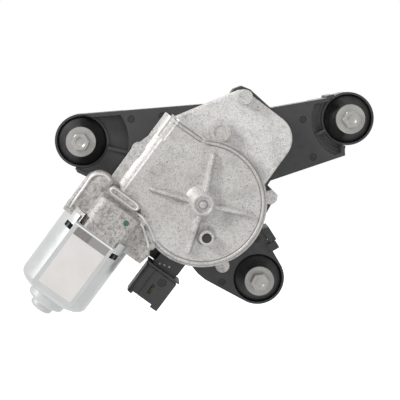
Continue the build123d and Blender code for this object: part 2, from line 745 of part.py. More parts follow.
with BuildPart() as worm_wheel:
    add(Solid.extrude_linear_with_rotation(wheel_section.sketch.faces()[0], at_depth(wheel_front, wheel_centre).origin,
                                           Vector(0, wheel_face, 0), tooth_twist))
    bar(wheel_centre, wheel_front, wheel_back - wheel_web, wheel_rim_inner, bore=wheel_hub_radius,
        mode=Mode.SUBTRACT)
    bar(wheel_centre, wheel_hub_front, wheel_back, wheel_hub_radius)
    for angle in range(0, 360, 45):
        with BuildSketch(radial(wheel_centre, angle)):
            Polygon((wheel_hub_radius - 1, -wheel_back), (wheel_hub_radius - 1, -wheel_front - 0.5),
                    (wheel_rim_inner + 1, -wheel_front - 2), (wheel_rim_inner + 1, -wheel_back), align=None)
        extrude(amount=0.9, both=True)
    bar(wheel_centre, wheel_hub_front, wheel_back, axle_radius + running_clearance, mode=Mode.SUBTRACT)
    bar(wheel_centre, wheel_back - crank_plate_thickness, wheel_back, crank_plate_radius, mode=Mode.SUBTRACT)
    bar(wheel_centre, wheel_back - contact_thickness, wheel_back, contact_radii[1], bore=contact_radii[0],
        mode=Mode.SUBTRACT)

# Crank plate in the back of the wheel, open round the axle's washer
with BuildPart() as crank_plate:
    bar(wheel_centre, wheel_back - crank_plate_thickness, wheel_back, crank_plate_radius,
        bore=axle_washer_radius + part_gap)

# Park contact ring in the back of the wheel
with BuildPart() as contact_ring:
    bar(wheel_centre, wheel_back - contact_thickness, wheel_back, contact_radii[1], bore=contact_radii[0])

# Axle of the wheel, fixed in the gear case, and its retaining washer
with BuildPart() as wheel_axle:
    bar(wheel_centre, axle_front, axle_back, axle_radius)
    bar(wheel_centre, -hub_boss_rise + 0.3, axle_front, axle_nose_radius)

with BuildPart() as axle_washer:
    bar(wheel_centre, axle_back - axle_washer_thickness, axle_back, axle_washer_radius, bore=axle_radius)

# Lever with its toothed segment
with BuildPart() as segment_lever:
    with BuildSketch(at_depth(lever_depth, pivot_place)):
        Circle(segment_radius - 1.17 * segment_module)
        Polygon((0, 0), toward(segment_start, 30), toward((segment_start + segment_finish) / 2, 45),
                toward(segment_finish, 30), align=None, mode=Mode.INTERSECT)
        for step in range(segment_tooth_count):
            angle = contact_angle + (step - segment_teeth_before) * 360 / segment_teeth_full
            add(tooth(segment_module, segment_teeth_full, segment_radius, linkage_backlash), rotation=angle)
        Circle(lever_width * 0.8)
        with Locations(toward(lever_angle, lever_length)):
            Circle(lever_width * 0.72)
        with Locations(toward(lever_angle, lever_length / 2)):
            Rectangle(lever_length, lever_width, rotation=lever_angle)
        Circle(pivot_radius + running_clearance, mode=Mode.SUBTRACT)
        with Locations(toward(lever_angle, lever_length)):
            Circle(crank_pin_radius, mode=Mode.SUBTRACT)
    extrude(amount=-lever_thickness)

# Crank pin: it stays in the lever's eye, with its foot clear of the crank plate
with BuildPart() as crank_pin:
    bar(crank_place, wheel_back + part_gap, lever_depth, crank_pin_radius + 1.5)
    bar(crank_place, lever_depth, lever_back, crank_pin_radius)
    bar(crank_place, lever_back, lever_back + 0.7, crank_pin_radius + 1.2)

# Rocker that holds the segment at its distance from the output shaft
with BuildPart() as rocker_link:
    with BuildSketch(at_depth(rocker_depth, (0, 0), rocker_angle)):
        with Locations((rocker_length / 2, 0)):
            SlotCenterToCenter(rocker_length, rocker_width)
        Circle(shaft_radius + running_clearance, mode=Mode.SUBTRACT)
        with Locations((rocker_length, 0)):
            Circle(pivot_radius, mode=Mode.SUBTRACT)
    extrude(amount=-rocker_thickness)

with BuildPart() as segment_pivot:
    bar(pivot_place, lever_depth - 0.6, lever_depth - 0.1, pivot_radius + 1.8)
    bar(pivot_place, lever_depth - 0.6, rocker_back, pivot_radius)
    bar(pivot_place, rocker_back, rocker_back + 0.6, pivot_radius + 1.2)

# Output shaft with its pinion, bearings, seal and ring
with BuildPart() as output_shaft:
    with BuildSketch(radial((0, 0))):
        Polygon((0, -pilot_front - 0.4), (pilot_radius, -pilot_front - 0.4), (pilot_radius, -pilot_back - part_gap),
                (shaft_radius, -pilot_back - part_gap), (shaft_radius, -taper_start_depth),
                (thread_radius + 0.3, -taper_end_depth), (thread_radius, -taper_end_depth),
                (thread_radius, -shaft_end_depth + 0.6), (thread_radius - 0.6, -shaft_end_depth),
                (0, -shaft_end_depth), align=None)
    revolve(axis=Axis.Y)
    bar((0, 0), retainer_depth, retainer_depth + retainer_thickness, tube_bore,
        bore=shaft_radius - retainer_groove, mode=Mode.SUBTRACT)

with BuildPart() as output_pinion:
    with BuildSketch(at_depth(pinion_front, (0, 0), rocker_angle + 180 / pinion_teeth)):
        Circle(pinion_radius - 1.17 * segment_module)
        with PolarLocations(0, pinion_teeth):
            add(tooth(segment_module, pinion_teeth, pinion_radius, linkage_backlash))
        Circle(shaft_radius, mode=Mode.SUBTRACT)
    extrude(amount=-pinion_width)

with BuildPart() as pilot_bush:
    bar((0, 0), pilot_front + 0.4, pilot_back - 0.2, pilot_bush_radius, bore=pilot_radius + running_clearance)

with BuildPart() as output_bush:
    bar((0, 0), plate_depth + plate_thickness, bush_back, tube_bore, bore=shaft_radius + running_clearance)

with BuildPart() as shaft_seal:
    bar((0, 0), seal_depth, seal_depth + seal_thickness, tube_bore, bore=shaft_radius + running_clearance)

with BuildPart() as thrust_washer:
    bar((0, 0), plate_depth - 0.7, plate_depth, tube_radius - 1, bore=shaft_radius + running_clearance)

with BuildPart() as shaft_retaining_ring:
    bar((0, 0), retainer_depth, retainer_depth + retainer_thickness, tube_bore - part_gap,
        bore=shaft_radius - retainer_groove)

# Mount rubbers, sleeves, washers and bolts
pieces = {}
for side, place in mount_places.items():
    front = mount_depths[side]
    with BuildPart() as grommet:
        with BuildSketch(radial(place, 0, front)):
            with BuildLine():
                Polyline((cone_base_radius, -cone_behind), (ring_bore - part_gap, -2 * cone_behind),
                         (ring_bore - part_gap, -ring_web_front), (ring_web_bore, -ring_web_front),
                         (ring_web_bore, -ring_web_front - ring_web), (cone_base_radius, -ring_web_front - ring_web),
                         (cone_base_radius, -ring_length + 2 * cone_behind),
                         (cone_top_radius, -ring_length - cone_behind), (sleeve_radius, -ring_length - cone_behind),
                         (sleeve_radius, cone_rise), (cone_top_radius, cone_rise))
                ThreePointArc((cone_top_radius, cone_rise), (cone_top_radius + cone_bulge, cone_rise / 2),
                              (cone_base_radius, -cone_behind))
            make_face()
        revolve(axis=Axis(at_depth(0, place).origin, (0, 1, 0)))
    pieces["grommet_" + side] = grommet
    with BuildPart() as sleeve:
        bar(place, front - cone_rise, front + sleeve_behind, sleeve_radius, bore=sleeve_bore)
    pieces["sleeve_" + side] = sleeve
    with BuildPart() as bolt:
        with BuildSketch(at_depth(front - cone_rise - washer_thickness - bolt_head_height, place)):
            RegularPolygon(bolt_head_width / 2, 6, major_radius=False)
        extrude(amount=-bolt_head_height)
        bar(place, front - cone_rise - washer_thickness, front + sleeve_behind, bolt_shoulder_radius)
        bar(place, front + sleeve_behind, front + sleeve_behind + bolt_reach, bolt_radius)
    pieces["mount_bolt_" + side] = bolt

with BuildPart() as mount_washers:
    for side, place in mount_places.items():
        back = mount_depths[side] - cone_rise
        bar(place, back - washer_thickness, back, washer_radius, bore=bolt_radius + part_gap)


def can_form(inset):
    """The can's form, set in by a wall: a turned shape with a stepped nose, cut by two flats with bevelled ends."""
    start = flange_face + inset
    end = can_end + inset
    nose_1, nose_2 = (radius - inset for radius in nose_radii)
    end_1, end_2 = (place + inset for place in nose_ends)
    body = can_radius - inset
    flat = can_flat - inset
    bevel_start = end + can_bevel - inset * (2 - sqrt(2))
    bevel_end = end - can_wall
    bevel_foot = flat - (bevel_start - bevel_end)
    with BuildPart(mode=Mode.PRIVATE) as form:
        with BuildSketch(radial_motor(0)) as profile:
            Polygon((start, 0), (start, body), (end, body), (end, nose_1), (end_1, nose_1),
                    (end_1, nose_2), (end_2, nose_2), (end_2, 0), align=None)
            fillet(profile.vertices().sort_by_distance((end, body))[0], can_round - inset)
            for corner in ((end_1, nose_1), (end_2, nose_2)):
                fillet(profile.vertices().sort_by_distance(corner)[0], nose_round - inset)
        revolve(axis=motor_axis)
        with BuildSketch(Plane(origin=worm_point, x_dir=motor_direction, z_dir=motor_away)):
            Polygon((flange_face + 2 * can_wall, 0), (flange_face + 2 * can_wall, flat), (bevel_start, flat),
                    (bevel_end, bevel_foot), (end_2 - can_wall, bevel_foot), (end_2 - can_wall, 0), align=None)
            mirror(about=Plane.XZ)
        extrude(amount=2 * can_radius, both=True, mode=Mode.INTERSECT)
    return form.part


can_outside = can_form(0)
can_inside = can_form(can_wall)

# Motor can: drawn steel with two flats, a stepped bearing nose and two tabs bent over the gear case
with BuildPart() as motor_can:
    add(can_outside)
    add(can_inside, mode=Mode.SUBTRACT)
    for sides in (tab_sides, (-tab_sides[1], -tab_sides[0])):
        motor_box(tab_window[0], tab_window[1], sides, (-can_radius, -worm_depth), mode=Mode.SUBTRACT)
        with BuildSketch(across_motor(flange_face)):
            Circle(can_radius)
            Circle(can_bore, mode=Mode.SUBTRACT)
            with Locations(((sides[0] + sides[1]) / 2, -can_radius / 2)):
                Rectangle(sides[1] - sides[0], can_radius, mode=Mode.INTERSECT)
        extrude(amount=tab_end - flange_face)

with BuildPart() as field_magnets:
    with BuildSketch(across_motor(magnet_span[0])):
        Circle(can_bore)
        Circle(magnet_inner, mode=Mode.SUBTRACT)
        far = 2 * can_radius
        for edge in (90, -90):
            Polygon((0, 0), toward(edge - 90 + magnet_half_angle, far), toward(edge, far),
                    toward(edge + 90 - magnet_half_angle, far), align=None, mode=Mode.SUBTRACT)
    extrude(amount=magnet_span[1] - magnet_span[0])

# Armature: shaft with its rolled worm, core, windings and commutator
flank_radii = [worm_root + (worm_tip - worm_root) * step / 3 for step in range(4)]


def thread_half(radius):
    """Half the angle that the thread fills at a radius, in a cut square to the worm's axis."""
    half_width = worm_lead / 4 - gear_backlash / 4 - (radius - worm_pitch_radius) * flank_slope
    return 360 * half_width / worm_lead


with BuildSketch(across_motor(-worm_length / 2, -180 * worm_length / worm_lead)) as thread_section:
    with BuildLine():
        Spline([toward(thread_half(radius), radius) for radius in flank_radii])
        ThreePointArc(toward(thread_half(worm_tip), worm_tip), toward(0, worm_tip),
                      toward(-thread_half(worm_tip), worm_tip))
        Spline([toward(-thread_half(radius), radius) for radius in flank_radii])
        ThreePointArc(toward(thread_half(worm_root), worm_root), toward(180, worm_root),
                      toward(-thread_half(worm_root), worm_root))
    make_face()

with BuildPart() as armature_shaft:
    add(Solid.extrude_linear_with_rotation(thread_section.sketch.faces()[0], worm_point,
                                           motor_direction * worm_length, 360 * worm_length / worm_lead))
    motor_bar(motor_shaft_span[0], -worm_length / 2, motor_shaft_radius)
    motor_bar(worm_length / 2, motor_shaft_span[1], motor_shaft_radius)

with BuildPart() as armature_core:
    with BuildSketch(across_motor(core_span[0])):
        Circle(core_radius)
        Circle(motor_shaft_radius, mode=Mode.SUBTRACT)
        with PolarLocations(core_radius - slot_inset, core_slots):
            Circle(slot_radius, mode=Mode.SUBTRACT)
        with PolarLocations(core_radius - slot_mouth[0] / 3, core_slots):
            Rectangle(*slot_mouth, mode=Mode.SUBTRACT)
    extrude(amount=core_span[1] - core_span[0])

with BuildPart() as armature_windings:
    for start, end in ((core_span[0] - coil_overhang, core_span[0]), (core_span[1], core_span[1] + coil_overhang)):
        motor_bar(start, end, core_radius - 1, bore=motor_shaft_radius + 1.5)
    with BuildSketch(across_motor(core_span[0])):
        with PolarLocations(core_radius - slot_inset, core_slots):
            Circle(slot_radius)
    extrude(amount=core_span[1] - core_span[0])

with BuildPart() as commutator:
    motor_bar(commutator_span[0], commutator_span[1], commutator_radius, bore=motor_shaft_radius)
    with BuildSketch(across_motor(commutator_span[0] - 1)):
        with PolarLocations(commutator_radius, core_slots):
            Rectangle(*commutator_slit)
    extrude(amount=commutator_span[1] - commutator_span[0] + 2, mode=Mode.SUBTRACT)

# Motor bearings and end pads
with BuildPart() as end_bearing:
    with BuildSketch(radial_motor(end_bearing_middle)):
        Circle(end_bearing_radius)
        Rectangle(2 * end_bearing_half, 30, mode=Mode.INTERSECT)
        with Locations((0, -15 + motor_shaft_radius + running_clearance)):
            Rectangle(30, 30, mode=Mode.SUBTRACT)
    revolve(axis=motor_axis)

with BuildPart() as bearing_retainer:
    motor_bar(end_bearing_middle + retainer_offset, end_bearing_middle + retainer_offset + retainer_plate,
              nose_radii[0] - can_wall, bore=end_bearing_radius)

with BuildPart() as thrust_button:
    motor_bar(nose_ends[1] + can_wall, motor_shaft_span[0] - running_clearance, nose_bore - nose_round + can_wall)

with BuildPart() as worm_bearing:
    motor_bar(worm_bearing_span[0], worm_bearing_span[1], tunnel_bore, bore=motor_shaft_radius + running_clearance)

with BuildPart() as worm_end_bush:
    motor_bar(motor_shaft_span[1] - worm_bush_length, motor_shaft_span[1] + worm_bush_margin, tunnel_bore,
              bore=motor_shaft_radius + running_clearance)

with BuildPart() as worm_end_pad:
    motor_bar(motor_shaft_span[1] + worm_bush_margin, tunnel_end - case_wall, tunnel_bore)

# Brush gear
with BuildPart() as brush_plate:
    motor_box(brush_plate_front, brush_plate_back, (-10 + part_gap, 14 - part_gap),
              (-brush_room + part_gap, brush_room - part_gap))
    motor_box(brush_plate_front, brush_plate_back,
              (-brush_room_half_width + part_gap, brush_room_half_width - part_gap),
              (-brush_room_side_depth + part_gap, brush_room - part_gap))
    motor_bar(brush_plate_front, brush_plate_back, commutator_radius + brush_plate_opening, mode=Mode.SUBTRACT)

with BuildPart() as brush_boxes:
    for sign in (-1, 1):
        box_start = commutator_radius + brush_box_gap
        sides = sorted((sign * box_start, sign * (box_start + brush_box_length)))
        inside = brush_half_height + brush_fit
        motor_box(brush_plate_back, brush_box_end, sides, (-inside - brush_box_wall, inside + brush_box_wall))
        motor_box(brush_span[0], brush_span[1], sides, (-inside, inside), mode=Mode.SUBTRACT)

with BuildPart() as carbon_brushes:
    for sign in (-1, 1):
        sides = sorted((sign * (commutator_radius - brush_sink), sign * (commutator_radius + brush_reach)))
        motor_box(brush_span[0] + brush_fit, brush_span[1] - brush_fit, sides, (-brush_half_height, brush_half_height))
    motor_bar(brush_span[0], brush_span[1], commutator_radius + brush_fit, mode=Mode.SUBTRACT)

with BuildPart() as chokes:
    with BuildSketch(across_motor(brush_plate_back)):
        with Locations(*choke_places):
            Circle(choke_radius)
    extrude(amount=choke_length)

with BuildPart() as suppression_capacitor:
    motor_box(brush_plate_back, brush_plate_back + capacitor_box[0], *capacitor_box[1:])

with BuildPart() as thermal_breaker:
    motor_box(brush_plate_back, brush_plate_back + breaker_box[0], *breaker_box[1:])

# Plug header, its blades and the park contact fingers
header_across = (-header_sides[1], -header_sides[0])
header_deep = (header_depths[0] - worm_depth, header_depths[1] - worm_depth)

with BuildPart() as connector_header:
    # Shroud, with its socket open at the end
    motor_box(header_span[0], header_span[1], header_across, header_deep)
    long_edges = connector_header.edges().filter_by(motor_axis)
    near_edge = long_edges.sort_by_distance(at_depth(header_depths[0], spot(header_floor, header_sides[1])).origin)[0]
    fillet(long_edges - [near_edge], header_rounds[0])
    long_edges = connector_header.edges().filter_by(motor_axis)
    near_edge = long_edges.sort_by_distance(at_depth(header_depths[0], spot(header_floor, header_sides[1])).origin)[0]
    fillet(near_edge, header_rounds[1])
    motor_box(header_span[0], header_floor, (header_across[0] + header_wall, header_across[1] - header_wall),
              (header_deep[0] + header_wall, header_deep[1] - header_wall), mode=Mode.SUBTRACT)
    # Latch slot, mould mark, groove and the step in the front wall's end
    with BuildSketch(beside_motor(header_depths[0])):
        with Locations((sum(header_slot) / 2, header_middle)):
            Rectangle(header_slot[1] - header_slot[0], header_slot_width)
        with Locations((header_span[0] + header_notch_length / 2, sum(header_notch) / 2)):
            Rectangle(header_notch_length, header_notch[1] - header_notch[0])
    extrude(amount=-header_wall, mode=Mode.SUBTRACT)
    with BuildSketch(beside_motor(header_depths[0])):
        with Locations((sum(header_span) / 2, sum(header_groove) / 2)):
            Rectangle(header_span[1] - header_span[0], header_groove[1] - header_groove[0])
    extrude(amount=-header_groove_depth, mode=Mode.SUBTRACT)
    with BuildSketch(beside_motor(header_depths[0])):
        with Locations(header_mark):
            Circle(mark_radius * 1.4)
    extrude(amount=-mark_depth, mode=Mode.SUBTRACT)
    # Neck and collar behind the shroud, then the base that reaches into the gear case
    motor_box(header_span[1], header_neck_end,
              (header_across[0] + header_neck_inset, header_across[1] - header_neck_inset),
              (header_deep[0] + header_neck_inset, header_deep[1]))
    motor_box(header_neck_end, header_collar_end,
              (header_across[0] - header_collar_proud, header_across[1] + header_collar_proud),
              (header_deep[0] - header_collar_proud, header_deep[1]))
    with BuildSketch(beside_motor(header_base_front)):
        with Locations(((header_collar_end + header_base_end) / 2, header_middle)):
            Rectangle(header_base_end - header_collar_end, header_base_width)
    extrude(amount=header_base_front - header_depths[1])
    with BuildSketch(beside_motor(finger_root_depth)):
        with Locations(((header_base_end + finger_end) / 2 - 1, header_middle)):
            Rectangle(finger_end - header_base_end, header_base_width - 4)
    extrude(amount=finger_root_depth - header_depths[1])
    for number in range(blade_count):
        blade(number, mode=Mode.SUBTRACT)

with BuildPart() as connector_blades:
    for number in range(blade_count):
        blade(number)

with BuildPart() as contact_fingers:
    for radius in finger_radii:
        with BuildSketch(beside_motor(wheel_back + part_gap)):
            with Locations((-radius, header_middle + 7)):
                Rectangle(1.2, 1.6)
        extrude(amount=wheel_back + part_gap - finger_root_depth)

pieces.update({
    "gear_housing": gear_housing, "housing_gasket": housing_gasket, "vent_plug": vent_plug,
    "cover_bracket": cover_bracket, "housing_screws": housing_screws, "worm_wheel": worm_wheel,
    "crank_plate": crank_plate, "contact_ring": contact_ring, "wheel_axle": wheel_axle,
    "axle_washer": axle_washer, "segment_lever": segment_lever, "crank_pin": crank_pin,
    "rocker_link": rocker_link, "segment_pivot": segment_pivot, "output_shaft": output_shaft,
    "output_pinion": output_pinion, "pilot_bush": pilot_bush, "output_bush": output_bush,
    "shaft_seal": shaft_seal, "thrust_washer": thrust_washer, "shaft_retaining_ring": shaft_retaining_ring,
    "mount_washers": mount_washers, "motor_can": motor_can, "field_magnets": field_magnets,
    "armature_shaft": armature_shaft, "armature_core": armature_core, "armature_windings": armature_windings,
    "commutator": commutator, "end_bearing": end_bearing, "bearing_retainer": bearing_retainer,
    "thrust_button": thrust_button, "worm_bearing": worm_bearing, "worm_end_bush": worm_end_bush,
    "worm_end_pad": worm_end_pad, "brush_plate": brush_plate, "brush_boxes": brush_boxes,
    "carbon_brushes": carbon_brushes, "chokes": chokes, "suppression_capacitor": suppression_capacitor,
    "thermal_breaker": thermal_breaker, "connector_header": connector_header,
    "connector_blades": connector_blades, "contact_fingers": contact_fingers,
})

os.makedirs("parts", exist_ok=True)
for name, piece in pieces.items():
    piece.part.label = name
    export_step(piece.part, f"parts/{name}.step")
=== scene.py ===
import json
import math

import bmesh
import bpy
from mathutils import Matrix, Vector
from mathutils.bvhtree import BVHTree


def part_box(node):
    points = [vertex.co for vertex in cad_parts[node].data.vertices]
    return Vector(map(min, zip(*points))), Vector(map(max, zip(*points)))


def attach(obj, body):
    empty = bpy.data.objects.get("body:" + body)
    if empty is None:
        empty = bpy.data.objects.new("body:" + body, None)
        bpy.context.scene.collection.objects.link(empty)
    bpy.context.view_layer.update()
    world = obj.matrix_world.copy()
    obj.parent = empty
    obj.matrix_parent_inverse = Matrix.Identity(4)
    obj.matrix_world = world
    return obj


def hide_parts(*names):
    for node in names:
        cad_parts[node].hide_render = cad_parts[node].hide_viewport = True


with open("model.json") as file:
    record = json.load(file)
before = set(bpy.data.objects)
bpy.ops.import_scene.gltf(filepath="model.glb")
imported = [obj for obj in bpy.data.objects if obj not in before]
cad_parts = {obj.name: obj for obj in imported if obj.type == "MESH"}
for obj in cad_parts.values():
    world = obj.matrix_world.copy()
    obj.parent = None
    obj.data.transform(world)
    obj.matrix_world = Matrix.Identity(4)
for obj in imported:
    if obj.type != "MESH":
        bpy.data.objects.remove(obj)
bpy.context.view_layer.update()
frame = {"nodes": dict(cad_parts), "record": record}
nodes = frame["nodes"]

# Blender works in metres; the sizes here are in millimetres. A place on the front is given by its X and Z,
# and a depth runs along Y from the front face of the gear case, away from the camera.
MM = 0.001
TUBE_END = 50.0  # depth of the frame's origin, at the end of the bearing tube
IN_FRONT = -60.0  # a depth in front of every piece
MOUNTS = {"left": (-83.5, 0.0), "right": (81.5, 0.0), "bottom": (17.5, -93.8)}

# Motor: its axis is nearest to the wheel's axis at the middle of the worm
WHEEL = (-14.0, -41.2)
MOTOR_ANGLE = math.radians(48.5)
COS, SIN = math.cos(MOTOR_ANGLE), math.sin(MOTOR_ANGLE)
WORM_DISTANCE = 40.0
WORM_MIDDLE = (WHEEL[0] - WORM_DISTANCE * SIN, WHEEL[1] + WORM_DISTANCE * COS)
WORM_DEPTH = 10.0
CAN_FLAT = 18.0  # from the motor's axis to the can's front flat
CAN_FRONT = WORM_DEPTH - CAN_FLAT

# Gear case: the drum round the wheel, the deck beside it and the flange of the motor
DRUM_EDGE = 37.6
DECK_DEPTH = 8.5
PAD_DEPTH = -1.5
COLLAR_DEPTH = -3.0
FLANGE_FADE = (-65.0, -59.0)  # from the origin along the motor's axis

# Rim of the drum: an arc round the wheel's axis and a straight part, with painted shade lines at RIM_HALF to
# either side of its middle
RIM_RADIUS = 35.9
RIM_HALF = 1.15
RIM_ARC_START, RIM_ARC_SWEEP = 78.0, -218.0
STRAIGHT_ALONG = (0.768, 0, -0.640)
STRAIGHT_ACROSS = (0.640, 0, 0.768)
STRAIGHT_OFFSET = -10.55


def place(x, z, depth):
    """A point given by its X and Z and its depth."""
    return Vector((x * MM, (depth - TUBE_END) * MM, z * MM))


def beside_motor(along, away, depth):
    """A point given along the motor's axis, away from the wheel and by its depth."""
    return place(WORM_MIDDLE[0] + along * COS - away * SIN, WORM_MIDDLE[1] + along * SIN + away * COS, depth)


def motor_point(along, away):
    """The X and Z of a point given along the motor's axis and away from the wheel."""
    point = beside_motor(along, away, 0)
    return point.x / MM, point.z / MM


# Materials
class Look:
    """A material, with short calls for building its nodes."""

    def __init__(self, name, color, roughness, metallic=0.0, specular=0.5):
        self.material = bpy.data.materials.new(name)
        self.material.use_nodes = True
        self.tree = self.material.node_tree
        self.shader = self.tree.nodes["Principled BSDF"]
        self.shader.inputs["Base Color"].default_value = (*color, 1)
        self.shader.inputs["Roughness"].default_value = roughness
        self.shader.inputs["Metallic"].default_value = metallic
        self.shader.inputs["Specular IOR Level"].default_value = specular
        self.coords = self.tree.nodes.new("ShaderNodeTexCoord").outputs["Object"]

    def node(self, kind, **settings):
        made = self.tree.nodes.new(kind)
        for key, value in settings.items():
            setattr(made, key, value)
        return made

    def link(self, source, target):
        self.tree.links.new(source, target)

    def noise(self, scale, detail, roughness=0.55):
        made = self.node("ShaderNodeTexNoise")
        made.inputs["Scale"].default_value = scale
        made.inputs["Detail"].default_value = detail
        made.inputs["Roughness"].default_value = roughness
        self.link(self.coords, made.inputs["Vector"])
        return made.outputs["Fac"]

    def cells(self, scale):
        made = self.node("ShaderNodeTexVoronoi")
        made.inputs["Scale"].default_value = scale
        self.link(self.coords, made.inputs["Vector"])
        return made.outputs["Distance"]

    def ramp(self, value, *stops):
        """Colours, or greys given as one number, between (position, colour) stops."""
        made = self.node("ShaderNodeValToRGB")
        elements = made.color_ramp.elements
        for element, (position, color) in zip(elements, stops):
            element.position = position
            element.color = (*color, 1) if isinstance(color, tuple) else (color, color, color, 1)
        self.link(value, made.inputs["Fac"])
        return made.outputs["Color"]

    def spread(self, value, low, high, to_low, to_high):
        """Map a range of values to another range, held at both ends."""
        made = self.node("ShaderNodeMapRange")
        for socket, number in zip(made.inputs[1:5], (low, high, to_low, to_high)):
            socket.default_value = number
        self.link(value, made.inputs["Value"])
        return made.outputs[0]

    def rise(self, length, start, end):
        """0 before the start, 1 after the end."""
        return self.spread(length, start * MM, end * MM, 0.0, 1.0)

    def fall(self, length, start, end):
        """1 before the start, 0 after the end."""
        return self.spread(length, start * MM, end * MM, 1.0, 0.0)

    def along(self, direction):
        """How far a point lies along a direction of the object's own frame."""
        made = self.node("ShaderNodeVectorMath", operation="DOT_PRODUCT")
        made.inputs[1].default_value = direction
        self.link(self.coords, made.inputs[0])
        return made.outputs["Value"]

    def from_wheel(self):
        """Distance from the wheel's axis."""
        flat = self.node("ShaderNodeVectorMath", operation="MULTIPLY")
        flat.inputs[1].default_value = (1, 0, 1)
        self.link(self.coords, flat.inputs[0])
        distance = self.node("ShaderNodeVectorMath", operation="DISTANCE")
        distance.inputs[1].default_value = (WHEEL[0] * MM, 0, WHEEL[1] * MM)
        self.link(flat.outputs[0], distance.inputs[0])
        return distance.outputs["Value"]

    def combine(self, first, second, operation="ADD"):
        made = self.node("ShaderNodeMath", operation=operation)
        for socket, value in zip(made.inputs, (first, second)):
            if isinstance(value, (int, float)):
                socket.default_value = value
            else:
                self.link(value, socket)
        return made.outputs[0]

    def apart(self, length, middle):
        """How far a length is from a middle, to either side."""
        return self.combine(self.combine(length, -middle * MM), 0.0, "ABSOLUTE")

    def mix(self, factor, first, second, blend="MIX"):
        """Mix two colours; the Mix node keeps its colour sockets at 6 and 7."""
        made = self.node("ShaderNodeMix", data_type="RGBA", blend_type=blend)
        for index, value in ((0, factor), (6, first), (7, second)):
            if isinstance(value, (int, float)):
                made.inputs[index].default_value = value
            elif isinstance(value, tuple):
                made.inputs[index].default_value = (*value, 1)
            else:
                self.link(value, made.inputs[index])
        return made.outputs[2]

    def soil(self, base, amount, source, *stops):
        """Darken a colour by a ramp of greys over a source."""
        return self.mix(amount, base, self.ramp(source, *stops), "MULTIPLY")

    def speckle(self, base, color, source, start, end, amount):
        """Lay specks of a colour over a base where the source is above the start."""
        return self.mix(self.ramp(source, (start, 0.0), (end, amount)), base, color)

    def rounded(self, radius):
        """The surface's direction with its edges rounded."""
        bevel = self.node("ShaderNodeBevel", samples=6)
        bevel.inputs["Radius"].default_value = radius * MM
        return bevel.outputs[0]

    def edges(self, radius):
        """How far the surface is from flat within a radius: 0 on open faces, near 1 on sharp edges."""
        geometry = self.node("ShaderNodeNewGeometry")
        same = self.node("ShaderNodeVectorMath", operation="DOT_PRODUCT")
        self.link(self.rounded(radius), same.inputs[0])
        self.link(geometry.outputs["Normal"], same.inputs[1])
        return self.spread(same.outputs["Value"], 1.0, 0.8, 0.0, 1.0)

    def color(self, source):
        self.link(source, self.shader.inputs["Base Color"])

    def rough(self, source, low, high):
        self.link(self.spread(source, 0.3, 0.7, low, high), self.shader.inputs["Roughness"])

    def bump(self, *layers, soften=None):
        """Bump from (height, strength, distance) layers, over edges rounded by the given radius."""
        normal = self.rounded(soften) if soften else None
        for height, strength, distance in layers:
            made = self.node("ShaderNodeBump")
            made.inputs["Strength"].default_value = strength
            made.inputs["Distance"].default_value = distance * MM
            self.link(height, made.inputs["Height"])
            if normal:
                self.link(normal, made.inputs["Normal"])
            normal = made.outputs[0]
        self.link(normal, self.shader.inputs["Normal"])


def shade(color, factor, more=0.0):
    """A colour made darker or lighter, at most white."""
    return tuple(min(factor * part + more, 1.0) for part in color)


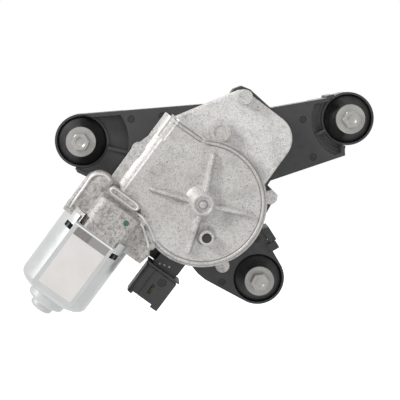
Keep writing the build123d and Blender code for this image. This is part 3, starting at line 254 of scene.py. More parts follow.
def cast_aluminium():
    """Die casting: mottled warm grey, rough and dark over the motor's flange; the deck and the edges are
    painted paler as painted highlight, and painted shade lines run beside the rim of the drum.
    """
    m = Look("cast_aluminium", (0.6, 0.59, 0.57), 0.45, 0.25)
    flow = m.noise(26, 3, 0.5)
    mottle = m.noise(460, 5, 0.7)
    fine = m.noise(1300, 4, 0.7)
    stain = m.noise(75, 5, 0.7)
    grain = m.noise(2600, 3, 0.6)

    wander = m.spread(stain, 0.3, 0.7, -3 * MM, 3 * MM)
    flange = m.fall(m.combine(m.along((COS, 0, SIN)), wander), *FLANGE_FADE)
    flange = m.combine(flange, m.rise(m.from_wheel(), DRUM_EDGE, DRUM_EDGE + 0.8), "MULTIPLY")
    # Painted highlight: faces at the deck's depth and deeper are painted paler, as if they caught more
    # light.
    deck = m.spread(m.along((0, 1, 0)), (DECK_DEPTH - 1.5 - TUBE_END) * MM,
                    (DECK_DEPTH - 0.3 - TUBE_END) * MM, 0.0, 0.75)
    open_tone = m.ramp(flow, (0.35, (0.56, 0.542, 0.522)), (0.65, (0.65, 0.636, 0.618)))
    rough_tone = m.ramp(mottle, (0.36, (0.34, 0.322, 0.302)), (0.62, (0.56, 0.542, 0.522)))
    base = m.mix(flange, m.mix(deck, open_tone, (0.8, 0.786, 0.77)), rough_tone)

    base = m.soil(base, 0.6, mottle, (0.38, 0.62), (0.5, 1.0))
    base = m.soil(base, 0.85, fine, (0.39, 0.5), (0.49, 1.0))
    base = m.soil(base, 0.75, stain, (0.34, 0.72), (0.52, 1.0))
    pits = m.combine(m.cells(400), m.spread(m.noise(120, 3, 0.6), 0.42, 0.62, 0.14, -0.05))
    base = m.soil(base, 0.8, pits, (0.1, 0.3), (0.2, 1.0))
    # Painted highlight: rounded edges are painted paler, standing in for light caught on the rims.
    base = m.mix(m.edges(0.55), base, (0.7, 0.69, 0.675))

    # Painted shade: dark lines along both feet of the drum's rim, over its arc and its straight part, stand
    # in for the shade where the rim meets the faces round it.
    rightwards, upwards, along_straight = m.along((1, 0, 0)), m.along((0, 0, 1)), m.along(STRAIGHT_ALONG)
    on_arc = m.combine(m.rise(rightwards, -10, -8), m.fall(upwards, -62, -60), "MAXIMUM")
    on_straight = m.combine(m.rise(along_straight, -27, -26), m.fall(along_straight, -7, -6), "MULTIPLY")
    for off_rim, area in ((m.apart(m.from_wheel(), RIM_RADIUS), on_arc),
                          (m.apart(m.along(STRAIGHT_ACROSS), STRAIGHT_OFFSET), on_straight)):
        painted_shade_line = m.spread(m.apart(off_rim, RIM_HALF), 0.15 * MM, 0.5 * MM, 0.85, 0.0)
        base = m.mix(m.combine(painted_shade_line, area, "MULTIPLY"), base, (0.2, 0.19, 0.18))
    m.color(base)
    m.rough(mottle, 0.4, 0.6)
    m.bump((mottle, 0.5, 0.14), (grain, 0.3, 0.03))
    return m.material


def moulded(name, color, roughness=0.46, grain_scale=1500, edge=2.0):
    """Moulded plastic with a fine eroded grain, faint flow marks and slightly paler edges."""
    m = Look(name, color, roughness, specular=0.45)
    tone = m.ramp(m.noise(38, 4), (0.3, shade(color, 0.8)), (0.72, shade(color, 1.25)))
    tone = m.mix(m.edges(0.5), tone, shade(color, edge, 0.004))
    m.color(m.speckle(tone, shade(color, 2.2), m.noise(900, 3, 0.7), 0.62, 0.8, 0.35))
    m.rough(m.noise(260, 3), roughness - 0.07, roughness + 0.1)
    m.bump((m.noise(grain_scale, 3), 0.35, 0.05), soften=0.3)
    return m.material


def metal(name, color, roughness, variation=0.12, metallic=1.0, spots=0.3, grain=0.2):
    """Plated or drawn metal with a cloudy tone, fine spots and a light grain."""
    m = Look(name, color, roughness, metallic)
    dark, light = shade(color, 1 - variation), shade(color, 1 + 0.6 * variation)
    tone = m.ramp(m.noise(70, 5), (0.3, dark), (0.7, light))
    m.color(m.speckle(tone, shade(color, 0.7), m.noise(700, 4, 0.7), 0.6, 0.78, spots))
    m.rough(m.noise(240, 4), 0.8 * roughness, 1.3 * roughness)
    m.bump((m.noise(1300, 3), grain, 0.02))
    return m.material


def rubber():
    """Dull black rubber with a bloom of pale dust."""
    m = Look("black_rubber", (0.02, 0.02, 0.021), 0.5, specular=0.4)
    dust = m.ramp(m.noise(170, 5, 0.7), (0.45, (0.016, 0.016, 0.017)), (0.78, (0.036, 0.035, 0.034)))
    m.color(m.mix(m.edges(0.5), dust, (0.05, 0.05, 0.05)))
    m.rough(m.noise(90, 3), 0.42, 0.6)
    m.bump((m.noise(1400, 3), 0.3, 0.03), soften=0.4)
    return m.material


def label_stock():
    """Blank label: warm white film with a faint fibre and a little handling grime."""
    m = Look("label_stock", (0.78, 0.755, 0.74), 0.42)
    base = m.ramp(m.noise(90, 4), (0.3, (0.74, 0.712, 0.695)), (0.7, (0.8, 0.775, 0.76)))
    m.color(m.speckle(base, (0.62, 0.6, 0.58), m.noise(1100, 4, 0.7), 0.6, 0.8, 0.25))
    m.rough(m.noise(300, 3), 0.36, 0.5)
    m.bump((m.noise(1800, 2), 0.2, 0.02))
    return m.material


def band_ink():
    """Grey band beside the label, darker over its left part."""
    m = Look("band_ink", (0.28, 0.27, 0.26), 0.4)
    left_part = m.rise(m.along((-SIN, 0, COS)), 23.7, 24.2)
    tone = m.mix(left_part, (0.31, 0.305, 0.295), (0.205, 0.19, 0.18))
    m.color(m.speckle(tone, (0.36, 0.35, 0.34), m.noise(500, 4, 0.7), 0.4, 0.8, 0.5))
    m.rough(m.noise(300, 3), 0.34, 0.5)
    m.bump((m.noise(1800, 2), 0.2, 0.02))
    return m.material


def green_paint():
    """Paint of the inspection mark, uneven in tone."""
    m = Look("green_paint", (0.02, 0.13, 0.07), 0.35)
    m.color(m.ramp(m.noise(700, 4), (0.3, (0.015, 0.1, 0.052)), (0.7, (0.032, 0.17, 0.095))))
    m.rough(m.noise(600, 3), 0.28, 0.45)
    m.bump((m.noise(1600, 3), 0.3, 0.03))
    return m.material


# One look for each material slot of the record
looks = {
    "cast_aluminium": cast_aluminium(),
    "black_nylon": moulded("black_nylon", (0.034, 0.0335, 0.035)),
    "black_rubber": rubber(),
    "gasket_rubber": moulded("gasket_rubber", (0.03, 0.03, 0.03), 0.7),
    "zinc_steel": metal("zinc_steel", (0.36, 0.35, 0.335), 0.38, 0.2, metallic=0.5, spots=0.6),
    "can_steel": metal("can_steel", (0.53, 0.54, 0.54), 0.34, 0.05, metallic=0.4, spots=0.12, grain=0.05),
    "bright_steel": metal("bright_steel", (0.56, 0.56, 0.57), 0.22),
    "core_steel": metal("core_steel", (0.25, 0.25, 0.26), 0.55),
    "gear_plastic": moulded("gear_plastic", (0.7, 0.68, 0.6), 0.4, edge=1.1),
    "copper": metal("copper", (0.72, 0.34, 0.16), 0.35),
    "brass": metal("brass", (0.74, 0.56, 0.27), 0.3),
    "bronze": metal("bronze", (0.45, 0.31, 0.17), 0.5),
    "ferrite": metal("ferrite", (0.1, 0.1, 0.11), 0.6, metallic=0.3),
    "carbon": metal("carbon", (0.06, 0.06, 0.06), 0.5, metallic=0.3),
    "brown_resin": moulded("brown_resin", (0.2, 0.1, 0.05), 0.4),
    "vent_fabric": moulded("vent_fabric", (0.05, 0.047, 0.045), 0.85, 2500),
}
slots = {part["node"]: part["material_slot"] for part in frame["record"]["subparts"]}
for name, node in nodes.items():
    node.data.materials.clear()
    node.data.materials.append(looks[slots[name]])

# Looks of added pieces only
# Painted highlight: pale metal for the bright strip painted at the can's end, where its rim catches the
# light.
painted_highlight_edge = metal("painted_highlight_edge", (0.8, 0.8, 0.79), 0.3, 0.05, metallic=0.3, spots=0.1)
# Painted highlight: a paler casting for the flange's raised rims, standing in for light caught on them.
highlight_casting = metal("highlight_casting", (0.72, 0.71, 0.69), 0.4, 0.22, metallic=0.25, spots=0.7, grain=0.5)
glossy_nylon = moulded("glossy_nylon", (0.008, 0.008, 0.0085), 0.5)

# Look and slot of added pieces
CAST = looks["cast_aluminium"], "cast_aluminium"
HIGHLIGHT_CAST = highlight_casting, "cast_aluminium"
NYLON = looks["black_nylon"], "black_nylon"
GLOSSY_NYLON = glossy_nylon, "black_nylon"
ZINC = looks["zinc_steel"], "zinc_steel"


# What builds the pieces that the solids leave out
def add_piece(name, bm, look, slot, smooth=True, body="casing"):
    """Turn a bmesh into a piece with its look and its body; the slot is not used."""
    bmesh.ops.recalc_face_normals(bm, faces=bm.faces)
    mesh = bpy.data.meshes.new(name)
    bm.to_mesh(mesh)
    bm.free()
    mesh.materials.append(look)
    for face in mesh.polygons:
        face.use_smooth = smooth
    piece = bpy.data.objects.new(name, mesh)
    bpy.context.scene.collection.objects.link(piece)
    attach(piece, body)
    return piece


def skin(rings, bm=None, hollow=False):
    """Join rings of points into one closed surface, in a new bmesh or the given one.

    A hollow surface joins its last ring to its first; any other has a face at each end.
    """
    if bm is None:
        bm = bmesh.new()
    made = [[bm.verts.new(point) for point in ring] for ring in rings]
    if hollow:
        made.append(made[0])
    count = len(made[0])
    for lower, upper in zip(made, made[1:]):
        for i in range(count):
            bm.faces.new((lower[i], lower[(i + 1) % count], upper[(i + 1) % count], upper[i]))
    if not hollow:
        bm.faces.new(made[0])
        bm.faces.new(made[-1])
    return bm


def ring(centre, depth, radius, count):
    """Points of a circle round a place at a depth; radius may be a function of the angle."""
    x, z = centre
    points = []
    for i in range(count):
        angle = 2 * math.pi * i / count
        reach = radius(angle) if callable(radius) else radius
        points.append(place(x + reach * math.cos(angle), z + reach * math.sin(angle), depth))
    return points


TURNED_SIDES = 64


def turned(name, centre, profile, look, slot, hollow=False):
    """A turned piece on an axis along Y: (radius, depth) pairs from back to front, or round its section."""
    rings = [ring(centre, depth, radius, TURNED_SIDES) for radius, depth in profile]
    return add_piece(name, skin(rings, hollow=hollow), look, slot)


search_trees = {}


def surface(node, x, z):
    """Where a line from the front first meets a node, and the surface's direction there."""
    if node not in search_trees:
        bm = bmesh.new()
        bm.from_mesh(nodes[node].data)
        search_trees[node] = BVHTree.FromBMesh(bm)
        bm.free()
    hit, normal, _, _ = search_trees[node].ray_cast(place(x, z, IN_FRONT), Vector((0, 1, 0)))
    return hit, normal


LINE_STEPS = 6


def smooth_line(points, closed=False):
    """Points along a smooth line through the given points."""
    count = len(points)
    line = []
    for i in range(count if closed else count - 1):
        if closed:
            four = [points[(i + k) % count] for k in (-1, 0, 1, 2)]
        else:
            four = [points[max(i - 1, 0)], points[i], points[i + 1], points[min(i + 2, count - 1)]]
        for step in range(LINE_STEPS):
            t = step / LINE_STEPS
            line.append(tuple(0.5 * (2 * q + (r - p) * t + (2 * p - 5 * q + 4 * r - s) * t ** 2
                                     + (3 * q - p - 3 * r + s) * t ** 3) for p, q, r, s in zip(*four)))
    if not closed:
        line.append(tuple(points[-1]))
    return line


# Can: blank label, grey band, and the bright edge and dark seam where it meets the casting; the bright edge
# is a painted highlight
LABEL_SIDES = (-11.7, 11.1)


def film(name, along, away, corner, thick, look):
    """A thin film with rounded corners and a soft edge on the front flat of the can."""
    outline = []
    corners = ((along[1] - corner, away[1] - corner, 0), (along[0] + corner, away[1] - corner, 90),
               (along[0] + corner, away[0] + corner, 180), (along[1] - corner, away[0] + corner, 270))
    for centre_along, centre_away, start in corners:
        for turn in range(start, start + 91, 15):
            angle = math.radians(turn)
            outline.append((centre_along, centre_away, math.cos(angle), math.sin(angle)))
    rings = []
    for inset, rise in ((0.0, -0.02), (0.0, 0.6 * thick), (0.35 * thick, 0.9 * thick), (thick, thick)):
        rings.append([beside_motor(a + (corner - inset) * c, w + (corner - inset) * s, CAN_FRONT - rise)
                      for a, w, c, s in outline])
    add_piece(name, skin(rings), look, "can_steel", smooth=False)


film("blank_label", (-92.4, -58.2), LABEL_SIDES, corner=1.2, thick=0.08, look=label_stock())
film("grey_band", (-58.1, -53.0), LABEL_SIDES, corner=0.4, thick=0.06, look=band_ink())
film("can_edge_bright", (-52.7, -51.9), (-13.2, 13.2), corner=0.3, thick=0.08, look=painted_highlight_edge)
film("can_edge_seam", (-51.7, -51.2), (-13.4, 13.4), corner=0.2, thick=0.05, look=looks["core_steel"])


# Paint mark: a low dome with a slightly uneven rim
MARK_PLACE = (-59.7, -47.8)
MARK_RADIUS = 1.7
MARK_RISE = 0.12
MARK_POINTS = 40

centre, normal = surface("gear_housing", *MARK_PLACE)
side = normal.orthogonal().normalized()
other = normal.cross(side)
rings = []
for share, height in ((1.0, -0.05), (1.0, 0.3), (0.93, 0.75), (0.75, 1.0), (0.4, 0.92)):
    points = []
    for i in range(MARK_POINTS):
        angle = 2 * math.pi * i / MARK_POINTS
        uneven = 1 + 0.05 * math.sin(3 * angle + 0.6) + 0.03 * math.sin(7 * angle)
        reach = MARK_RADIUS * share * MM * uneven
        offset = side * math.cos(angle) * reach + other * math.sin(angle) * reach
        points.append(centre + offset + normal * height * MARK_RISE * MM)
    rings.append(points)
add_piece("paint_mark", skin(rings), green_paint(), "cast_aluminium")


# Bolts of the mounts
HEAD_HEIGHT = 4.0
HEAD_WIDTH = 10.0
HEAD_CHAMFER = 0.55
CHAMFER_RADIUS = 0.96 * HEAD_WIDTH / 2
HEAD_FACE = ((0.9, 1.2), (0.75, 2.2), (0.15, 3.1), (0.0, 3.5), (0.0, CHAMFER_RADIUS))  # (sunk by, radius)
SHANK_RADIUS = 3.2
BOLT_RADIUS = 3.0
BOLT_PITCH = 1.0
BOLT_THREAD = 12.0
BOLT_SIDES = 60
HEXAGON_CORNER = 1.13  # radius of the rounded corners as a share of the half width
THREAD_DEPTH = 0.55  # as a share of the pitch
THREAD_STEPS = 8  # rings for each turn


def triangle_wave(value):
    """Rises from 0 to 1 and falls back once in each unit."""
    share = value % 1.0
    return 2 * share if share < 0.5 else 2 - 2 * share


def thread_rings(centre, start, end, radius, pitch, count):
    """Rings of a screw thread that fades in at its start and runs out in a lead chamfer at its end."""
    depth_of_thread = THREAD_DEPTH * pitch
    steps = int((end - start) / pitch * THREAD_STEPS)
    rings = []
    for step in range(steps + 1):
        depth = start + (end - start) * step / steps
        lead = min(1.0, (end - depth) / (0.7 * pitch))
        fade = min(1.0, (depth - start) / pitch)

        def reach(angle, depth=depth, lead=lead, fade=fade):
            crest = min(1.0, 1.6 * triangle_wave(depth / pitch - angle / (2 * math.pi)))
            cut = radius - fade * depth_of_thread * (1 - crest)
            return min(cut, radius - depth_of_thread * (1 - lead))

        rings.append(ring(centre, depth, reach, count))
    return rings


def hexagon(across, turn):
    """Radius of a hexagon at an angle, with its corners slightly rounded."""
    def reach(angle):
        nearest = (angle - turn + math.pi / 6) % (math.pi / 3) - math.pi / 6
        return min(across / 2 / math.cos(math.pi / 6 - abs(nearest)), across / 2 * HEXAGON_CORNER)
    return reach


def bolt_rings(node, centre):
    """A bolt in the place of a node: hexagon head with a dished face and a chamfer, shank and thread."""
    low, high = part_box(node)
    head_front = low[1] / MM + TUBE_END
    head_back = head_front + HEAD_HEIGHT
    thread_end = high[1] / MM + TUBE_END
    thread_start = thread_end - BOLT_THREAD
    corner = max((v.co for v in nodes[node].data.vertices if v.co.y < low[1] + 0.5 * MM),
                 key=lambda p: math.hypot(p.x / MM - centre[0], p.z / MM - centre[1]))
    hexagonal = hexagon(HEAD_WIDTH, math.atan2(corner.z / MM - centre[1], corner.x / MM - centre[0]))
    profile = [(head_front + sunk, radius) for sunk, radius in HEAD_FACE]
    for share in (0.35, 0.7, 1.0):
        def chamfered(angle, share=share):
            return CHAMFER_RADIUS + (hexagonal(angle) - CHAMFER_RADIUS) * share

        profile.append((head_front + HEAD_CHAMFER * share ** 1.5, chamfered))
    profile += [(head_back - 0.25, hexagonal), (head_back, lambda angle: hexagonal(angle) - 0.2),
                (head_back, SHANK_RADIUS), (thread_start, SHANK_RADIUS)]
    return ([ring(centre, depth, radius, BOLT_SIDES) for depth, radius in profile]
            + thread_rings(centre, thread_start + 0.02, thread_end, BOLT_RADIUS, BOLT_PITCH, BOLT_SIDES))


for mount, centre in MOUNTS.items():
    bolt = add_piece("bolt_" + mount, skin(bolt_rings("mount_bolt_" + mount, centre)), *ZINC, smooth=False)
    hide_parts("mount_bolt_" + mount)


# Casting: rims of the flange and the drum
DEEPEST_RIM = 1.0
RIM_FOOT = 0.5  # how far a rim's foot is sunk


def front_depths(line):
    """Depth of the casting's front along a line, smoothed; past its edge, that of the point before."""
    depths = []
    for x, z in line:
        hit, _ = surface("gear_housing", x, z)
        front = None if hit is None else hit.y / MM + TUBE_END
        if front is None or front > DEEPEST_RIM:
            front = depths[-1] if depths else 0.0
        depths.append(front)
    for _ in range(3):
        depths = [(before + 2 * here + after) / 4
                  for before, here, after in zip(depths[:1] + depths, depths, depths[1:] + depths[-1:])]
    return depths


def bead(name, points, half_width, rise, look, slot, closed=False, depth=None):
    """A raised rim with a round section through the points, at a depth or on the casting's front."""
    line = smooth_line(points, closed)
    last = len(line) - 1
    depths = front_depths(line) if depth is None else [depth] * len(line)
    rings = []
    for i, (x, z) in enumerate(line):
        if closed:
            before, after, size = line[i - 1], line[(i + 1) % len(line)], 1.0
        else:
            before, after = line[max(i - 1, 0)], line[min(i + 1, last)]
            size = max(0.15, math.sin(min(1.0, min(i, last - i) / 4) * math.pi / 2))
        length = math.hypot(after[0] - before[0], after[1] - before[1]) or 1.0
        side = (-(after[1] - before[1]) / length, (after[0] - before[0]) / length)
        section = [(-half_width * size, RIM_FOOT)]
        for step in range(9):
            angle = math.pi * (1 - step / 8)
            section.append((half_width * size * math.cos(angle), -rise * size * math.sin(angle)))
        section.append((half_width * size, RIM_FOOT))
        rings.append([place(x + side[0] * across, z + side[1] * across, depths[i] + deep)
                      for across, deep in section])
    add_piece(name, skin(rings, hollow=closed), look, slot)


def flange_rim(name, half_width, rise, points, **settings):
    """A rim through points given along and away from the motor's axis, coloured paler than the casting as a
    painted highlight.
    """
    bead(name, [motor_point(*point) for point in points], half_width, rise, *HIGHLIGHT_CAST, **settings)


flange_rim("rim_left", half_width=0.8, rise=0.9, depth=PAD_DEPTH, points=(
    (-48.5, 21.3), (-40, 21.7), (-33, 21.8), (-26.5, 21.9), (-22.9, 20.4), (-20.8, 17.2), (-20.6, 13.8),
    (-21.9, 11.2)))
flange_rim("rim_collar", half_width=0.6, rise=0.8, depth=COLLAR_DEPTH, closed=True, points=(
    (-26.6, 0), (-26.6, 4.0), (-26.3, 7.3), (-24.8, 8.3), (-23.3, 7.3), (-23.0, 4.0), (-23.0, 0),
    (-23.0, -4.5), (-23.1, -8.4), (-24.4, -10.6), (-26.2, -10.0), (-26.6, -7.6), (-26.6, -4.0)))
flange_rim("rim_inner", half_width=0.75, rise=0.9, depth=PAD_DEPTH, points=(
    (-31.0, -16.8), (-31.3, -18.2), (-32.6, -20.6), (-34.6, -23.2), (-36.6, -26.0), (-38.2, -28.2),
    (-40.2, -29.8)))
flange_rim("rim_outer", half_width=0.75, rise=0.9, points=(
    (-27.3, -13.0), (-27.6, -16.5), (-28.6, -19.4), (-30.9, -24.2), (-33.4, -28.4), (-35.2, -31.0)))


# Casting: slope from the hump over the worm down to the foot of the collar
HUMP_DEPTH = -7.5
HUMP_LEFT, HUMP_LEFT_ROUND = 5.0, 6.5
HUMP_RIGHT, HUMP_RIGHT_ROUND = -12.5, 4.0
SLOPE_RIGHT, SLOPE_WIDTH = -16.4, 27.8
SLOPE_START, SLOPE_LENGTH = -31.2, 3.1
SLOPE_OVER = 0.12  # how far it lies over the hump
SLOPE_LAP = 0.7
SLOPE_END_DEPTH = -1.6
SLOPE_FOOT = 1.0


def hump_depth(away):
    """Depth of the hump's top across its rounded sides."""
    if away > HUMP_LEFT:
        return HUMP_DEPTH + HUMP_LEFT_ROUND - math.sqrt(HUMP_LEFT_ROUND ** 2 - (away - HUMP_LEFT) ** 2)
    if away < HUMP_RIGHT:
        return HUMP_DEPTH + HUMP_RIGHT_ROUND - math.sqrt(HUMP_RIGHT_ROUND ** 2 - (away - HUMP_RIGHT) ** 2)
    return HUMP_DEPTH


rings = []
for step in range(41):
    away = SLOPE_RIGHT + SLOPE_WIDTH * step / 40
    top = hump_depth(away) - SLOPE_OVER
    section = [(SLOPE_START - SLOPE_LAP, top + 0.5), (SLOPE_START - 0.4, top + 0.02)]
    for part in range(9):
        t = part / 8
        depth = top + (SLOPE_END_DEPTH - top) * t * t * (3 - 2 * t)
        section.append((SLOPE_START + SLOPE_LENGTH * t, depth))
    section += [(SLOPE_START + SLOPE_LENGTH, SLOPE_FOOT), (SLOPE_START - SLOPE_LAP, SLOPE_FOOT)]
    rings.append([beside_motor(along, away, depth) for along, depth in section])
add_piece("hump_slope", skin(rings), *CAST)


# Casting: the left pad's round corner, and the web between the right pad and the drum
def slab(name, points, layers):
    """A thick plate with a soft edge: layers are (depth, share of the outline) from back to front."""
    line = smooth_line([motor_point(*point) for point in points], closed=True)
    middle = [sum(values) / len(line) for values in zip(*line)]
    rings = [[place(middle[0] + (x - middle[0]) * share, middle[1] + (z - middle[1]) * share, depth)
              for x, z in line] for depth, share in layers]
    add_piece(name, skin(rings), *CAST)


slab("pad_corner", layers=((8.0, 1.0), (-0.6, 1.0), (-1.2, 0.985), (-1.56, 0.95)), points=(
    (-29.0, 23.4), (-26.0, 23.4), (-22.6, 22.2), (-20.2, 19.6), (-19.2, 16.4), (-19.4, 13.2), (-20.6, 10.4),
    (-23.0, 9.4), (-26.0, 9.6), (-29.0, 11.0), (-30.0, 14.0), (-30.0, 20.0)))
slab("flange_web", layers=((8.0, 1.0), (0.1, 1.0), (-0.5, 0.96), (-0.8, 0.9)), points=(
    (-33.4, -21.5), (-31.6, -24.6), (-33.9, -28.6), (-35.6, -31.6), (-37.6, -33.0), (-40.2, -32.4),
    (-41.0, -29.5), (-39.0, -26.0), (-36.5, -22.5)))

# Casting: rim of the drum, its straight part first
drum_line = [(-25.4, 7.4), (-21.6, 4.2), (-16.7, 0.2), (-11.8, -3.9)]
for step in range(45):
    angle = math.radians(RIM_ARC_START + RIM_ARC_SWEEP * step / 44)
    drum_line.append((WHEEL[0] + RIM_RADIUS * math.cos(angle), WHEEL[1] + RIM_RADIUS * math.sin(angle)))
bead("rim_drum", drum_line, 0.95, 0.85, *CAST, depth=0.0)

# Casting: wide feet and soft tops for the four ribs of the drum's front, each (angle, reach)
RIBS = ((73.0, 31.4), (-18.0, 31.6), (-111.5, 31.8), (158.7, 33.2))
RIB_START = 5.0
RIB_FADE = 2.4
RIB_HALF_FOOT, RIB_FOOT_TAPER = 2.7, 0.75
RIB_HEIGHT, RIB_HEIGHT_TAPER = 4.6, 2.2
RIB_SECTION = ((-1, -0.12), (-0.97, 0.04), (-0.8, 0.14), (-0.62, 0.5), (-0.44, 0.9), (-0.28, 1.0),
               (0.28, 1.0), (0.44, 0.9), (0.62, 0.5), (0.8, 0.14), (0.97, 0.04), (1, -0.12))

for number, (angle, reach) in enumerate(RIBS, 1):
    cos, sin = math.cos(math.radians(angle)), math.sin(math.radians(angle))
    rings = []
    for step in range(25):
        share = step / 24
        out = RIB_START + (reach - RIB_START) * share
        end = math.sqrt(max(0.0, 1 - max(0.0, (out - reach + RIB_FADE) / RIB_FADE) ** 2))
        half_foot = (RIB_HALF_FOOT - RIB_FOOT_TAPER * share) * (0.12 + 0.88 * end)
        height = (RIB_HEIGHT - RIB_HEIGHT_TAPER * share) * (0.1 + 0.9 * end)
        rings.append([place(WHEEL[0] + cos * out - sin * half_foot * across,
                            WHEEL[1] + sin * out + cos * half_foot * across, -height * up)
                      for across, up in RIB_SECTION])
    add_piece("rib_skin_%d" % number, skin(rings), *CAST)

# Casting: the hub's cone, a raised ring round a small pressed pin, and a dark disc round the pin that is
# painted shade of a well
HUB_CONE = ((11.5, 0.3), (11.4, -0.03), (10.9, -0.25), (10.3, -0.75), (9.4, -1.8), (8.4, -3.1), (7.5, -4.3),
            (7.0, -5.0), (6.7, -5.5), (6.2, -5.62), (6.0, -5.2), (9.5, 0.3))
HUB_RING = ((6.7, -4.6), (6.6, -5.9), (6.25, -6.45), (5.7, -6.6), (5.0, -6.5), (4.55, -6.15), (4.35, -5.6),
            (4.3, -4.6))
HUB_PIN = ((2.1, -5.0), (2.1, -5.62), (1.85, -5.9), (1.4, -6.05), (0.6, -6.1))
# Painted shade: a dark flat disc round the pin stands in for the shade of a well; there is no recess.
HUB_WELL_SHADE = ((3.0, -5.2), (3.0, -5.55), (2.9, -5.58), (2.3, -5.58))

turned("hub_cone", WHEEL, HUB_CONE, *CAST, hollow=True)
turned("hub_ring", WHEEL, HUB_RING, *CAST, hollow=True)
turned("hub_pin", WHEEL, HUB_PIN, *CAST)
turned("hub_well_shade", WHEEL, HUB_WELL_SHADE, looks["core_steel"], "core_steel")


# Front of the cover and the header: moulding marks and pin heads
COVER_MARKS = ((-52.1, 11.2), (-33.3, 11.4), (52.3, 2.2), (57.0, -21.3), (18.2, -69.0), (-4.9, -94.2))
HEADER_MARK = (-53.75, -50.2)
PIN_HEADS = ((-45.6, -42.4), (-44.6, -45.2), (-43.8, -48.2))


def button(name, node, centre, radius, rise, look, slot):
    """A low round button with a rounded edge on a node's front."""
    hit, _ = surface(node, *centre)
    front = hit.y / MM + TUBE_END
    profile = ((radius, front + 0.4), (radius, front - 0.5 * rise), (0.94 * radius, front - 0.85 * rise),
               (0.8 * radius, front - rise), (0.3 * radius, front - 0.97 * rise))
    turned(name, centre, profile, look, slot)


for number, centre in enumerate(COVER_MARKS, 1):
    button("cover_mark_%d" % number, "cover_bracket", centre, 2.1, 0.05, *GLOSSY_NYLON)
button("header_mark", "connector_header", motor_point(*HEADER_MARK), 2.6, 0.12, *GLOSSY_NYLON)
for number, pin in enumerate(PIN_HEADS, 1):
    button("pin_head_%d" % number, "connector_header", motor_point(*pin), 0.6, 0.4, *ZINC)


# Back of the cover: stiffening ribs, each (start, end), and ejector marks
PLATE_BACK = 25.0
BACK_RIB_HEIGHT = 5.6
BACK_RIBS = (
    ((-24.5, -2.0), (-53.0, -2.0)), ((24.5, -3.0), (57.0, -1.5)), ((3.5, -16.0), (14.8, -77.0)),
    ((-57.8, -17.0), (61.5, -17.0)), ((-51.0, -36.0), (28.0, -36.0)), ((-46.0, -56.0), (20.0, -56.0)),
    ((-22.0, 14.5), (-22.0, -77.0)), ((32.5, 9.5), (38.5, -26.0)))
BACK_RIB_SECTION = ((-1.7, -0.06), (-1.05, 0.08), (-0.8, 0.3), (-0.68, 0.93), (-0.45, 1.0),
                    (0.45, 1.0), (0.68, 0.93), (0.8, 0.3), (1.05, 0.08), (1.7, -0.06))
EJECTOR_MARKS = ((-36.0, -8.0), (12.0, -9.5), (45.0, -12.0), (-10.0, -28.0), (14.0, -28.0), (-10.0, -46.0),
                 (16.0, -47.0), (-34.0, -27.0), (-9.0, -66.0))
EJECTOR_PROFILE = ((2.6, PLATE_BACK - 0.2), (2.6, PLATE_BACK + 0.15), (2.45, PLATE_BACK + 0.25),
                   (1.0, PLATE_BACK + 0.25))


def back_rib(bm, start, end):
    """A thin stiffening rib, run out at both ends."""
    length = math.hypot(end[0] - start[0], end[1] - start[1])
    direction = ((end[0] - start[0]) / length, (end[1] - start[1]) / length)
    rings = []
    for out, share in ((0, 0.02), (0.8, 0.35), (2.2, 0.8), (4.0, 1.0),
                       (length - 4.0, 1.0), (length - 2.2, 0.8), (length - 0.8, 0.35), (length, 0.02)):
        rings.append([place(start[0] + direction[0] * out - direction[1] * across,
                            start[1] + direction[1] * out + direction[0] * across,
                            PLATE_BACK + BACK_RIB_HEIGHT * share * up) for across, up in BACK_RIB_SECTION])
    skin(rings, bm)


bm = bmesh.new()
for start, end in BACK_RIBS:
    back_rib(bm, start, end)
add_piece("back_ribs", bm, *NYLON)
for number, centre in enumerate(EJECTOR_MARKS, 1):
    turned("ejector_mark_%d" % number, centre, EJECTOR_PROFILE, *GLOSSY_NYLON)

# The cover again, with the upper rib of its bearing tube ending at the outer wall
TUBE_RIB_ANGLE = math.radians(110)
TUBE_RIB_HALF = 2.0
TUBE_RIB_BEYOND = 21.0  # corners further out than this are the rib's outer end
TUBE_RIB_END = 17.2

bm = bmesh.new()
bm.from_mesh(nodes["cover_bracket"].data)
cos, sin = math.cos(TUBE_RIB_ANGLE), math.sin(TUBE_RIB_ANGLE)
for vertex in bm.verts:
    x, z = vertex.co.x / MM, vertex.co.z / MM
    out, across = x * cos + z * sin, z * cos - x * sin
    if out > TUBE_RIB_BEYOND and abs(across) < TUBE_RIB_HALF:
        vertex.co.x -= (out - TUBE_RIB_END) * cos * MM
        vertex.co.z -= (out - TUBE_RIB_END) * sin * MM
cover = add_piece("cover_trimmed", bm, *NYLON, smooth=False)
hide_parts("cover_bracket")

# Screws of the cover, with a recess of six lobes
SCREWS = ((16.2, 19.2), (28.3, -43.2), (-4.6, -81.5), (-49.2, -7.1))
SCREW_SIDES = 48
SCREW_REACH = 5.0  # corners of the solids nearer than this to a screw's axis are its own
screw_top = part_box("housing_screws")[1][1] / MM + TUBE_END


def six_lobes(radius, lobe):
    """Radius of a recess with six lobes at an angle."""
    return lambda angle: radius - lobe * (0.5 - 0.5 * math.cos(6 * angle))


